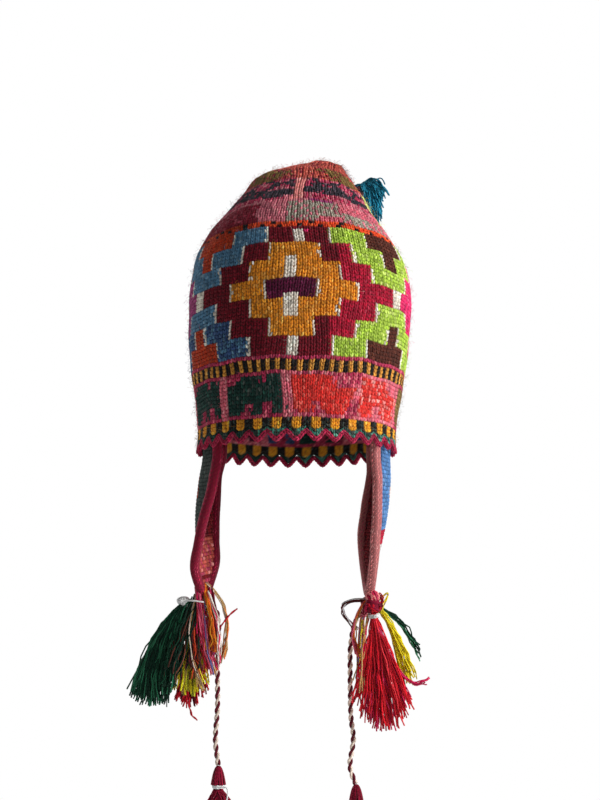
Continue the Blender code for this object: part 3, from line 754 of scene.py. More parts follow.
class Parts:
    """Arrays of points, faces, colours and yarn coordinates that grow into one mesh."""

    def __init__(self):
        self.points, self.faces, self.colours, self.uv = [], [], [], []
        self.count = 0

    def add(self, points, faces, colours, uv):
        """Append points with their faces, which count from this part's first point."""
        self.points.append(points.reshape(-1, 3))
        self.faces += [np.asarray(group) + self.count for group in faces]
        self.colours.append(colours)
        self.uv.append(uv.reshape(-1, 2))
        self.count += len(self.points[-1])

    def build(self, name, material, slot, *replaced):
        """The finished piece, riding on the hat's body in place of its solids."""
        sizes_of = sorted({group.shape[1] for group in self.faces})
        faces = [np.concatenate([g for g in self.faces if g.shape[1] == n]) for n in sizes_of]
        mesh = make_mesh(
            name, np.concatenate(self.points), faces,
            np.concatenate(self.colours), np.concatenate(self.uv),
        )
        mesh.materials.append(bpy.data.materials[material])
        piece = bpy.data.objects.new(name, mesh)
        bpy.context.scene.collection.objects.link(piece)
        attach(piece, BODY)
        if replaced:
            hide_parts(*replaced)
        return piece


def grid_faces(rows, columns, closed):
    """Quads of a grid of rows by columns of points, each row joined into a loop if closed."""
    last = columns if closed else columns - 1
    row, column = grid(np.arange(rows - 1), np.arange(last))
    ahead = (column + 1) % columns
    here, above = row * columns, (row + 1) * columns
    corners = [here + column, here + ahead, above + ahead, above + column]
    return np.stack(corners, -1).reshape(-1, 4)


def spindle_faces(rings, sides):
    """Faces of a row of rings, and of the two points that come after them and close the ends."""
    around = np.arange(sides)
    ahead = (around + 1) % sides
    size, last = rings * sides, (rings - 1) * sides
    low = np.stack([np.full(sides, size), ahead, around], -1)
    high = np.stack([np.full(sides, size + 1), last + around, last + ahead], -1)
    return [grid_faces(rings, sides, True), np.vstack([low, high])]


def copied_faces(faces, count, size):
    """The faces of count copies of a shape of size points, one after the other."""
    start = np.arange(count)[:, None, None] * size
    return [(start + group[None]).reshape(-1, group.shape[1]) for group in faces]


# Half of a stitch: one leg of its V, as a closed spindle with a low flat back. Its rings lie at
# LEG_RINGS along it, each as wide and as high as LEG_GIRTH and LEG_LIFT say. LEG_ROUND gives
# the points of a ring across and up, and the leg runs between its tips, in stitches and rows.
LEG_RINGS = np.array((0.24, 0.72))
LEG_GIRTH = np.array((0.97, 0.95))
LEG_LIFT = np.array((0.97, 0.92))
LEG_BEND = 0.015
LEG_ROUND = np.array(((-1.0, 0.0), (-0.55, 0.86), (0.55, 0.86), (1.0, 0.0)))
LEG_START = np.array((0.085, -0.34))
LEG_END = np.array((0.335, 0.98))
LEG_TIP = 0.05
LEG_WIDTH = 0.215
# How much a leg is shaken: to the side, up or down, and in its girth
LEG_SHAKE = 0.018
LEG_SHIFT = 0.03
LEG_SWELL = 0.05


def leg_shape(leg_width):
    """Points (across, up, height) and faces of the leg right of a stitch's middle."""
    centres = LEG_START + LEG_RINGS[:, None] * (LEG_END - LEG_START)
    centres[:, 0] += LEG_BEND
    across = centres[:, None, 0] + leg_width * LEG_GIRTH[:, None] * LEG_ROUND[None, :, 0]
    upward = np.broadcast_to(centres[:, None, 1], across.shape)
    height = LEG_LIFT[:, None] * LEG_ROUND[None, :, 1]
    rings = np.stack([across, upward, height], -1).reshape(-1, 3)
    tips = np.array([(*LEG_START, LEG_TIP), (*LEG_END, LEG_TIP)])
    faces = spindle_faces(len(LEG_RINGS), len(LEG_ROUND))
    return np.vstack([rings, tips]), [group[:, ::-1] for group in faces]


def stitches(parts, surface, column, row, width, yarn, rng, lift=0.0, relief=1.0, slim=1.0):
    """V stitches on a surface, all at once.

    column and row are the places of the stitches' feet, and width is how many columns each
    takes. yarn holds the yarns of the left legs and of the right legs. lift raises the
    stitches, relief is their height beside the usual one, and slim their legs' width. Both
    legs are copies of leg_shape(), scaled and shaken a little, and every point is put on the
    surface at its height.
    """
    shape, faces = leg_shape(LEG_WIDTH * slim)
    size = sizes()
    top = (size.proud + lift) - size.relief * relief
    count = len(column)
    for mirror, leg in ((1, yarn[1]), (-1, yarn[0])):
        shake = rng.normal(0, LEG_SHAKE, (count, 1))
        swell = 1 + rng.normal(0, LEG_SWELL, (count, 1))
        across = column[:, None] + width[:, None] * (mirror * shape[None, :, 0] * swell + shake)
        upward = row[:, None] + shape[None, :, 1] + rng.normal(0, LEG_SHIFT, (count, 1))
        height = top + size.relief * relief * shape[None, :, 2] * swell
        points = placed(surface, across, upward, height)
        colours = np.repeat(yarn_colours(leg, rng), len(shape), 0)
        uv = np.stack([shape[:, 1] * ROW_HEIGHT, shape[:, 0] * mirror], -1)
        uv = uv[None] + rng.random((count, 1, 2)) * 0.01
        turned = [group[:, ::mirror] for group in faces]
        parts.add(points, copied_faces(turned, count, len(shape)), colours, uv)


def strands(parts, paths, radius, yarn, rng, sides=4):
    """Round strands of yarn along paths, an array of strands by points.

    Each point of a path gets a ring square to the path, and a point closes each end.
    """
    count, length, _ = paths.shape
    radius = np.broadcast_to(np.asarray(radius, float), (count, length))
    tangent = unit(np.gradient(paths, axis=1))
    mean = np.abs(unit(paths[:, -1] - paths[:, 0]))
    helper = np.where(mean[:, 1:2] < 0.8, (0.0, 1.0, 0.0), (1.0, 0.0, 0.0))
    first = unit(np.cross(tangent, helper[:, None]))
    second = np.cross(tangent, first)
    share = np.arange(sides) / sides
    ring = circle(2 * np.pi * np.arange(sides) / sides, first[:, :, None], second[:, :, None])
    rings = paths[:, :, None] + radius[:, :, None, None] * ring
    points = np.concatenate([rings.reshape(count, -1, 3), paths[:, [0, -1]]], 1)
    size = points.shape[1]
    faces = copied_faces(spindle_faces(length, sides), count, size)
    run = np.linalg.norm(np.diff(paths, axis=1), axis=2).cumsum(1)
    run = np.concatenate([np.zeros((count, 1)), run], 1)
    along = np.concatenate([np.repeat(run, sides, 1), run[:, [0, -1]]], 1)
    turn = np.concatenate([np.tile(share, length), [0, 0]])
    uv = np.stack([along + rng.random((count, 1)), np.broadcast_to(turn, along.shape)], -1)
    colours = np.repeat(yarn_colours(yarn, rng), size, 0)
    parts.add(points, faces, colours, uv)


# Charts


FIGURE = (
    "..............",
    "...#####.###..",
    "..######.###..",
    "############..",
    "############..",
    "############..",
    "############..",
    "############..",
    "####..##..##..",
    "####..##..##..",
    "###...##..##..",
    "..............",
)
BLOCK = (
    "..............",
    "########......",
    "########......",
    "#########.....",
    "#############.",
    "#############.",
    "############..",
    "############..",
    "####..######..",
    "####..######..",
    ".###...####...",
    "..............",
)
BLOCK_WIDTH = len(FIGURE[0])
# Yarns of the panel's blocks, going round from the back: ground and figure
PANEL = (
    ("raspberry", "deep_blue"), ("rose", "purple"), ("raspberry", "fir"), ("raspberry", "fir"),
    ("raspberry", "fir"), ("rose", "scarlet"), ("rose", "scarlet"), ("raspberry", "olive"),
    ("rose", "deep_blue"), ("raspberry", "fir"),
)
# Yarns of the three diamonds: edge on the left and on the right, inner part, bar. The front
# diamond's left edge is its crimson painted in shade.
DIAMONDS = {
    0: ("burgundy", "crimson", "golden", "purple"),
    1: ("hot_pink", "hot_pink", "blue", "golden"),
    -1: ("mauve", "mauve", "marigold", "fir"),
}
# Yarns of the fields between them
FIELDS = {0: ("lime", "brown"), -1: ("blue", "rust"), 1: ("orange", "fir"), -2: ("orange", "fir")}
# Sizes in stitches: a level's rows, how far apart the diamonds are, half the widest level, of a
# diamond and of its inner part, what each next level loses, a field's edge and half a bar
LEVEL_ROWS = 5
REPEAT = 44
DIAMOND_HALF = 20.5
INNER_HALF = 12.5
LEVEL_LOSS = 4
FIELD_EDGE = 8
BAR_HALF = 5.5
# How many stitches the knitter set the front fields towards the front diamond, level by level,
# and how far to the left that diamond's inner part leans
SET_IN = {1: (2, 1, 1, 0, 2, 2, 2), -1: (0, 0, 0, 0, 1, 2, 3)}
LEAN = np.array((0.0, 1.0, 0.5, 1.0, 0.5, 0.5, 0.0))
LEVELS = len(LEAN)
MIDDLE = LEVELS // 2
# Yarns of the flaps' outer faces: ground, the diamond's edge, ring and heart, stripe, tip. The left
# flap's stripe is the crimson painted in shade.
FLAP_YARNS = {
    1: ("sky", "golden", "crimson", "white", "crimson", "pale_grey"),
    -1: ("slate_green", "rust", "fir", "stone", "burgundy", "slate_green"),
}


class Chart:
    """Yarns of stitches, painted by masks."""

    def __init__(self, shape, ground):
        self.yarn = np.full(shape, YARN_KEYS.index(ground))

    def paint(self, where, key):
        """Give the stitches where the mask is true a yarn."""
        self.yarn[where] = YARN_KEYS.index(key)


def whole(values):
    """The whole numbers at or below values."""
    return np.floor(values).astype(int)


def within(places, stretch):
    """Whether places lie in a stretch, from its first to before its last."""
    return (places >= stretch[0]) & (places < stretch[1])


def chart_mask(drawing, row, column):
    """Whether a drawing has a stitch at a row from its foot and a column."""
    marks = np.array([[mark == "#" for mark in line] for line in drawing[::-1]])
    return marks[row.clip(0, len(marks) - 1), column.clip(0, marks.shape[1] - 1)]


def crown_chart(row, column, rng, shift=0.0):
    """Yarns of the crown's stitches, by row from the rim and column from the front.

    shift is where in the stitch the yarn lies, a quarter left or right of its middle.
    """
    row, column = whole(row), whole(column)
    chart = Chart(row.shape, "coral")
    paint = chart.paint
    turn = (column + ROUND // 2) % ROUND - ROUND // 2
    # Rim: sea green under a check of two stitches by two
    edge = row < RIM_ROWS[0]
    rim = within(row, RIM_ROWS)
    pair = (turn + 1) % 4 < 2
    paint(edge, "sea")
    paint(edge & (turn < -8), "fir")
    paint((row == 1) & ~pair, "black")
    paint(rim, "black")
    paint(rim & pair, "marigold")
    # Panel of figures
    block = np.floor_divide(turn + 1, BLOCK_WIDTH)
    inside = (turn + 1) % BLOCK_WIDTH
    up = row - PANEL_ROWS[0]
    ragged = rng.choice((-1, 0, 0, 0, 0, 0, 1), row.shape)
    soft = rng.random(row.shape)
    paint(edge & (soft < 0.38), "slate_green")
    paint(edge & (soft > 0.90), "black")
    paint(rim & ~pair & (soft < 0.22), "slate_green")
    left = chart_mask(FIGURE, up, inside + ragged * (rng.random(row.shape) < 0.3))
    right = chart_mask(BLOCK, up, inside + ragged)
    for index, (ground, figure) in enumerate(PANEL, -len(PANEL) // 2):
        here = within(row, PANEL_ROWS) & (block == index)
        paint(here, ground)
        drawn = here & (left if index < 0 else right)
        paint(drawn, figure)
        paint(drawn & (index == 1) & (ragged != 0), "salmon")
        paint(here & (inside >= BLOCK_WIDTH - 2) & (index < 0), "rose")
        paint(here & ~drawn & (index == 0) & (soft < 0.5), "raspberry")
        paint(drawn & (figure == "fir") & (soft > 0.82), "slate_green")
    # Check of one stitch by one, and a plain row
    check = within(row, CHECK_ROWS)
    paint(check, "black")
    paint(check & (turn % 2 == 0), "ochre")
    paint(row == CHECK_ROWS[1], "raspberry")
    paint_diamonds(chart, row, turn + shift, rng)
    paint_top(chart, row, turn, rng)
    return chart.yarn


def paint_diamonds(chart, row, turn, rng):
    """Stepped diamonds, each level five rows high and eight stitches wider than the next.

    A white leg stands at each step's edge, with some left out and some doubled.
    """
    ragged = rng.random(row.shape)
    paint = chart.paint
    band = within(row, DIAMOND_ROWS)
    level = ((row - DIAMOND_ROWS[0]) // LEVEL_ROWS).clip(0, LEVELS - 1)
    step = (row - DIAMOND_ROWS[0]) % LEVEL_ROWS
    away = np.abs(level - MIDDLE)
    across = turn + 1
    which = np.round(across / REPEAT).astype(int)
    near = across - REPEAT * which
    moved = across.astype(float)
    for side, shares in SET_IN.items():
        beside = (side * across > 0) & (side * across < 0.75 * REPEAT)
        moved += side * beside * np.array(shares)[level]
    gap = np.abs(moved - REPEAT * which) - (DIAMOND_HALF - LEVEL_LOSS * away)
    field = np.floor_divide(across, REPEAT)
    for index, (ground, inner) in FIELDS.items():
        here = band & (gap > 0) & (field == index)
        paint(here, ground)
        paint(here & (ground == "blue") & (level < 2) & (ragged < 0.7), "deep_blue")
        paint(here & (gap > FIELD_EDGE), inner)
    thin = np.where(ragged < 0.12, 0.0, np.where(ragged > 0.80, 1.0, 0.5))
    inward = (gap > FIELD_EDGE - thin) & (gap < FIELD_EDGE)
    paint(band & (gap > 0) & ((gap < thin) | inward | (away == 0)), "white")
    for index, (dark, bright, inner, bar) in DIAMONDS.items():
        front = index == 0
        here = band & (gap < 0) & (which == index)
        # The edge takes its left yarn, and its right one from eight stitches right of the middle;
        # the front diamond's left yarn is its crimson painted in shade
        paint(here, dark)
        paint(here & (near > 8 - 2 * (level < 2)), bright)
        set_left = LEAN[level] * front
        off = np.abs(near + set_left)
        reach = INNER_HALF - LEVEL_LOSS * away + 0.5 * ((level == 5) & front)
        gold = here & (off < reach) & (away < MIDDLE)
        paint(gold, inner)
        paint(gold & (off > reach - thin), "white")
        half = BAR_HALF - set_left
        paint(here & (away == 0) & (off < half + thin), "white")
        paint(here & (away == 0) & (off < half), bar)
        # White strokes over and under the bar, and at the diamond's top and foot
        upper = (level == 4) | ((level == 5) & (step == 0))
        lower = (level == 2) | ((level == 3) & (step == 0))
        paint(here & upper & (np.abs(near + 1.5 * front) < 1.25), "white")
        paint(here & lower & (np.abs(near + front) < 1.5), "white")
        paint(here & (level == 6) & (step < 4) & (near > -0.5) & (near < 1.5), "white")
        paint(here & (level == 6) & (step == 3) & (np.abs(near - 2) < 0.5), "hot_pink")
        paint(here & (level == 0) & (near > -1.5) & (near < 0.5), "white")


# Patches of the crown's top: rows, stitches from the front, share of stitches, yarn
WHOLE_TURN = (-ROUND // 2, ROUND // 2)
TOP_PATCHES = (
    (ORANGE_ROWS, WHOLE_TURN, 1, "orange"),
    (ORANGE_ROWS, (-66, -10), 1, "rust"),
    (HEATHER_ROWS, WHOLE_TURN, 1, "wine_heather"),
    ((58, 61), (-66, -26), 0.6, "dusty"),
    (HEATHER_ROWS, (-9, 28), 1, "dusty"),
    (HEATHER_ROWS, (-2, 28), 0.80, "stone"),
    ((58, 60), (4, 10), 1, "rose"),
    ((62, 67), (10, 66), 0.8, "rose"),
    (HEATHER_ROWS, (18, 40), 0.45, "rose"),
    (HEATHER_ROWS, (40, 66), 1, "dusty"),
    ((66, 67), WHOLE_TURN, 1, "dusty"),
    ((66, 67), (2, 9), 1, "mauve"),
    (ZIGZAG_ROWS, WHOLE_TURN, 1, "raspberry"),
    (ZIGZAG_ROWS, WHOLE_TURN, 0.45, "dusty"),
)


def paint_top(chart, row, turn, rng):
    """Bands over the diamonds: orange, heather, zigzag, olive and the coral tip."""
    paint = chart.paint
    chance = rng.random(row.shape)
    for rows, stretch, share, key in TOP_PATCHES:
        paint(within(row, rows) & within(turn, stretch) & (chance < share), key)
    paint((row == ORANGE_ROWS[0]) & (turn % 4 == 0), "black")
    paint((row == ORANGE_ROWS[0] + 1) & (turn % 7 == 2), "black")
    # A wavy line under a row of rings, with a seam and a stripe over them
    zigzag = within(row, ZIGZAG_ROWS)
    swing = np.sin(turn * 2 * np.pi / 33)
    paint(zigzag & (np.abs(row - 70.6 - swing) < 1.7) & (chance < 0.90), "charcoal")
    ring = np.abs((turn - 8) % 14 - 7) * 0.8 + np.abs(row - 74.8) * 1.5
    paint(zigzag & (np.abs(ring - 5.0) < 1.5) & (chance < 0.86), "charcoal")
    paint(zigzag & within(turn, (-2, 1)), "salmon")
    paint(within(row, (63, ZIGZAG_ROWS[1])) & within(turn, (24, 31)), "pistachio")
    # Olive blotches, and stripes at the tip
    blob = np.cos((turn + 14) * 2 * np.pi / 30) + 0.5 * np.cos((row - 82) * 0.55)
    paint(within(row, OLIVE_ROWS) & (blob > 1.4 * chance - 0.5), "olive")
    paint(within(row, (OLIVE_ROWS[0], TIP_ROW)) & (chance > 0.90), "wine_heather")
    paint((row >= TIP_ROW) & (row % 6 < 2), "petrol")
    paint((row >= TIP_ROW) & (row % 6 == 3), "olive")


def flap_chart(side, facing, row, column):
    """Yarns of a flap's stitches.

    The outer face is a field with a stepped diamond, then two bands to the tip. The inner face
    is dark red, and the left flap's is speckled coral towards the tip.
    """
    row, column = whole(row), whole(column)
    if facing < 0:
        chart = Chart(row.shape, "dark_red")
        if side < 0:
            low = row < -24
            speckle = (row * 7 + column * 13 + row * column) % 11
            chart.paint(low, "coral")
            chart.paint(low & (speckle < 3), "raspberry")
            chart.paint(low & (speckle == 5), "salmon")
            chart.paint((row < -34) & (speckle > 7), "dark_red")
        return chart.yarn
    ground, edge, ring, heart, stripe, tip = FLAP_YARNS[side]
    chart = Chart(row.shape, ground)
    off = np.abs(side * column - 2)
    reach = 6 - 2 * np.abs((row + 13) // 3)
    diamond = (off < reach) & (reach > 0)
    chart.paint(diamond, edge)
    chart.paint(diamond & (off < reach - 1), ring)
    chart.paint(diamond & (off < reach - 3), heart)
    chart.paint(row < -21, stripe)
    chart.paint(row < -25, tip)
    return chart.yarn


# Materials


def link_nodes(tree, kind, links=(), **settings):
    """A node with its settings, and with inputs linked or set by (input, value) pairs."""
    node = tree.nodes.new(kind)
    for name, value in settings.items():
        setattr(node, name, value)
    set_inputs(tree, node, links)
    return node


def set_inputs(tree, node, links):
    """Link or set a node's inputs by (input, value) pairs."""
    for key, value in links:
        if isinstance(value, bpy.types.NodeSocket):
            tree.links.new(value, node.inputs[key])
        else:
            node.inputs[key].default_value = value


def maths(tree, operation, *values):
    """The result of a maths node on values or sockets."""
    return link_nodes(tree, "ShaderNodeMath", enumerate(values), operation=operation).outputs[0]


def noise(tree, place, scale, roughness):
    """The strength of a noise at a place."""
    links = [("Vector", place), ("Scale", scale), ("Detail", 3.0), ("Roughness", roughness)]
    return link_nodes(tree, "ShaderNodeTexNoise", links).outputs[0]


def seen_or_lit(tree, seen, lit):
    """A shader that the camera sees as one shader and all else is lit by as another."""
    ray = link_nodes(tree, "ShaderNodeLightPath").outputs["Is Camera Ray"]
    return link_nodes(tree, "ShaderNodeMixShader", [(0, ray), (1, lit), (2, seen)]).outputs[0]


def spun_group():
    """Spun yarn: plies that wind round it, and fibres along it, as a painted shade and a height.

    The ply is a sine of the way along the yarn plus the turn round it. The fibres are a noise
    drawn out along the yarn, and a second noise in the piece's own space adds felting. The
    painted shade follows their height: darker where the yarn lies low, lighter where it stands
    high.
    """
    tree = bpy.data.node_groups.new("spun_yarn", "ShaderNodeTree")
    for name, usual in (("Plies", 900.0), ("Ply depth", 0.5), ("Felting", 0.5)):
        socket = tree.interface.new_socket(name=name, in_out="INPUT", socket_type="NodeSocketFloat")
        socket.default_value = usual
    for name in ("Shade", "Height"):
        tree.interface.new_socket(name=name, in_out="OUTPUT", socket_type="NodeSocketFloat")
    inside = tree.nodes.new("NodeGroupInput").outputs
    place = link_nodes(tree, "ShaderNodeUVMap", uv_map="along_yarn").outputs["UV"]
    parts = link_nodes(tree, "ShaderNodeSeparateXYZ", [(0, place)]).outputs
    run = maths(tree, "MULTIPLY", parts["X"], inside["Plies"])
    around = maths(tree, "MULTIPLY", parts["Y"], 2.0)
    turns = maths(tree, "MULTIPLY", maths(tree, "ADD", run, around), 2 * math.pi)
    ply = maths(tree, "MULTIPLY", maths(tree, "SINE", turns), inside["Ply depth"])
    drawn = link_nodes(
        tree, "ShaderNodeVectorMath", [(0, place), (1, (700.0, 9.0, 1.0))], operation="MULTIPLY"
    ).outputs[0]
    body = link_nodes(tree, "ShaderNodeTexCoord").outputs["Object"]
    felt = maths(tree, "MULTIPLY", noise(tree, body, 1300.0, 0.6), inside["Felting"])
    rough = maths(tree, "ADD", noise(tree, drawn, 1.0, 0.65), felt)
    height = maths(tree, "ADD", rough, ply)
    painted_shade = link_nodes(
        tree, "ShaderNodeMapRange", [(0, height), (1, -0.2), (2, 1.4), (3, 0.62), (4, 1.22)]
    ).outputs[0]
    link_nodes(tree, "NodeGroupOutput", [("Shade", painted_shade), ("Height", height)])
    return tree


# Wools: plies per metre, their depth, felting, bump, sheen, and how light the wool is painted.
# The backing's 0.5 is painted shade in the gaps between the stitches, and the fibres' 1.15
# paints them lighter than their yarn
Wool = namedtuple("Wool", "plies depth felting bump sheen light")
WOOLS = {
    "stitch_wool": Wool(420.0, 0.22, 0.9, 0.5, 0.06, 1.0),
    "backing_wool": Wool(420.0, 0.10, 1.2, 0.6, 0.02, 0.50),
    "border_wool": Wool(420.0, 0.25, 0.9, 0.5, 0.06, 1.0),
    "edge_wool": Wool(420.0, 0.25, 0.8, 0.5, 0.06, 1.0),
    "tassel_wool": Wool(330.0, 0.40, 0.5, 0.6, 0.05, 1.0),
    "cord_wool": Wool(260.0, 0.45, 0.6, 0.6, 0.05, 1.0),
    "thread_wool": Wool(500.0, 0.35, 0.5, 0.5, 0.05, 1.0),
    "fibre_wool": Wool(100.0, 0.00, 0.3, 0.1, 0.10, 1.15),
}


def make_wool(name, wool, group):
    """A matt wool material: the yarn's own colour with the painted shade of its spin and the wool's
    light, roughened by its spin.
    """
    made = bpy.data.materials.new(name)
    made.use_nodes = True
    tree = made.node_tree
    spin = [("Plies", wool.plies), ("Ply depth", wool.depth), ("Felting", wool.felting)]
    spun = link_nodes(tree, "ShaderNodeGroup", node_tree=group)
    set_inputs(tree, spun, spin)
    colour = link_nodes(tree, "ShaderNodeAttribute", attribute_name="yarn").outputs["Color"]
    painted_shade = maths(tree, "MULTIPLY", spun.outputs["Shade"], wool.light)
    tinted = link_nodes(
        tree, "ShaderNodeVectorMath", [(0, colour), ("Scale", painted_shade)], operation="SCALE"
    )
    bump = link_nodes(
        tree, "ShaderNodeBump",
        [("Height", spun.outputs["Height"]), ("Strength", wool.bump), ("Distance", 0.0003)],
    )
    set_inputs(tree, tree.nodes["Principled BSDF"], [
        ("Base Color", tinted.outputs[0]), ("Normal", bump.outputs[0]), ("Roughness", 0.92),
        ("Specular IOR Level", 0.2), ("Sheen Weight", wool.sheen), ("Sheen Roughness", 0.5),
    ])


# Operators


# Lights: place, size, power
LIGHTS = {
    "key": ((1.80, -0.76, 0.82), 0.9, 46.0),
    "front": ((0.3, -1.9, 0.6), 1.2, 2.6),
    "back": ((-1.0, 1.7, 0.8), 1.2, 26.0),
}
WHITE = (1.0, 1.0, 1.0, 1.0)
# The floor's radius, height and corners
FLOOR_RADIUS = 8
FLOOR_Z = -0.62
FLOOR_CORNERS = 64


class HAT_OT_stage(bpy.types.Operator):
    """Make the floor, the lights and the camera"""

    bl_idname = "hat.stage"
    bl_label = "Stage"

    def execute(self, context):
        scene = context.scene
        data = bpy.data.cameras.new("camera")
        data.sensor_width = 36.0
        data.lens = 84.375
        data.clip_end = 50.0
        camera = bpy.data.objects.new("camera", data)
        camera.location = (0.0016, -1.5, 0.040)
        camera.rotation_euler = (math.radians(90), 0, 0)
        scene.collection.objects.link(camera)
        scene.camera = camera
        scene.view_settings.view_transform = "Standard"
        for name, (place, size, power) in LIGHTS.items():
            self.light(scene, name, place, size, power)
        world = scene.world or bpy.data.worlds.new("studio")
        scene.world = world
        world.use_nodes = True
        tree = world.node_tree
        lit = tree.nodes["Background"]
        set_inputs(tree, lit, [("Color", WHITE), ("Strength", 0.16)])
        seen = link_nodes(tree, "ShaderNodeBackground", [("Color", WHITE)])
        both = seen_or_lit(tree, seen.outputs[0], lit.outputs[0])
        set_inputs(tree, tree.nodes["World Output"], [("Surface", both)])
        self.floor(scene)
        return {"FINISHED"}

    @staticmethod
    def light(scene, name, place, size, power):
        """A soft square light that faces the hat."""
        data = bpy.data.lights.new(name, "AREA")
        data.size = size
        data.energy = power
        lamp = bpy.data.objects.new(name, data)
        lamp.location = place
        toward = -np.array(place)
        lamp.rotation_euler = (
            math.atan2(math.hypot(toward[0], toward[1]), -toward[2]),
            0.0,
            math.atan2(toward[1], toward[0]) - math.pi / 2,
        )
        scene.collection.objects.link(lamp)

    @staticmethod
    def floor(scene):
        """A pale round floor under the hat, on a circle, that can't be seen from below."""
        angle = np.linspace(0, 2 * np.pi, FLOOR_CORNERS, endpoint=False)
        points = FLOOR_RADIUS * circle(angle, np.array((1, 0, 0)), np.array((0, 1, 0)))
        points[:, 2] = FLOOR_Z
        mesh = bpy.data.meshes.new("floor")
        mesh.from_pydata(points.tolist(), [], [list(range(FLOOR_CORNERS))])
        made = bpy.data.materials.new("floor_paint")
        made.use_nodes = True
        tree = made.node_tree
        shader = tree.nodes["Principled BSDF"]
        set_inputs(tree, shader, [("Base Color", (0.92, 0.92, 0.92, 1.0)), ("Roughness", 0.9)])
        white = link_nodes(tree, "ShaderNodeEmission", [("Strength", 1.0)])
        above = seen_or_lit(tree, white.outputs[0], shader.outputs[0])
        clear = link_nodes(tree, "ShaderNodeBsdfTransparent").outputs[0]
        below = link_nodes(tree, "ShaderNodeNewGeometry").outputs["Backfacing"]
        mix = link_nodes(tree, "ShaderNodeMixShader", [(0, below), (1, above), (2, clear)])
        set_inputs(tree, tree.nodes["Material Output"], [("Surface", mix.outputs[0])])
        mesh.materials.append(made)
        floor = bpy.data.objects.new("floor", mesh)
        scene.collection.objects.link(floor)


class HAT_OT_wools(bpy.types.Operator):
    """Make the wool materials"""

    bl_idname = "hat.wools"
    bl_label = "Wools"

    def execute(self, context):
        group = spun_group()
        for name, wool in WOOLS.items():
            make_wool(name, wool, group)
        return {"FINISHED"}


# Points along a tie cord. Its strands' centres lie CORD_REACH of its radius from its line, and
# their own radius is CORD_GIRTH of it.
CORD_POINTS = 130
CORD_REACH = 0.5
CORD_GIRTH = 0.52


class HAT_OT_tie_cords(bpy.types.Operator):
    """Make the two tie cords, each of two strands twisted round each other"""

    bl_idname = "hat.tie_cords"
    bl_label = "Tie cords"

    def execute(self, context):
        self.cord("left", LEFT_CORD, 11)
        self.cord("right", RIGHT_CORD, 12)
        return {"FINISHED"}

    @staticmethod
    def cord(side, route, seed):
        """One cord: each strand's centre goes round the route's own line as a helix."""
        rng = np.random.default_rng(seed)
        path = smooth_route(route, CORD_POINTS)
        length = arc_lengths(path)[-1]
        tangent = unit(np.gradient(path, axis=0))
        first = unit(np.cross(tangent, (0.0, 1.0, 0.0)))
        second = np.cross(tangent, first)
        turn = 2 * np.pi * np.linspace(0, length, CORD_POINTS) / sizes().twist
        turn += 0.35 * np.sin(np.linspace(0, 9, CORD_POINTS))
        uneven = 1 + 0.06 * np.sin(np.linspace(0, 60, CORD_POINTS))
        parts = Parts()
        for half, key in ((0.0, "cream"), (np.pi, "maroon")):
            line = path + CORD_RADIUS * CORD_REACH * circle(turn + half, first, second)
            thick = CORD_RADIUS * CORD_GIRTH * uneven
            strands(parts, line[None], thick[None], keys_to_index([key]), rng, sides=8)
        parts.build(side + "_tie_cord", "cord_wool", "braid_yarn", side + "_braid")


# The crown's inner face: how much thinner the wall is at the tip, how far it is sunk and how
# high its purl bumps are, and how far its yarn is lifted against the backing wool's painted shade
TIP_THINNING = 0.45
INNER_SINK = 0.0006
PURL_BUMP = 0.0007
INNER_SHADE_LIFT = 1.3
# Where the crown narrows, its count of stitches changes every so many rows, to no fewer than
COUNT_ROWS = 4
FEWEST_STITCHES = 10


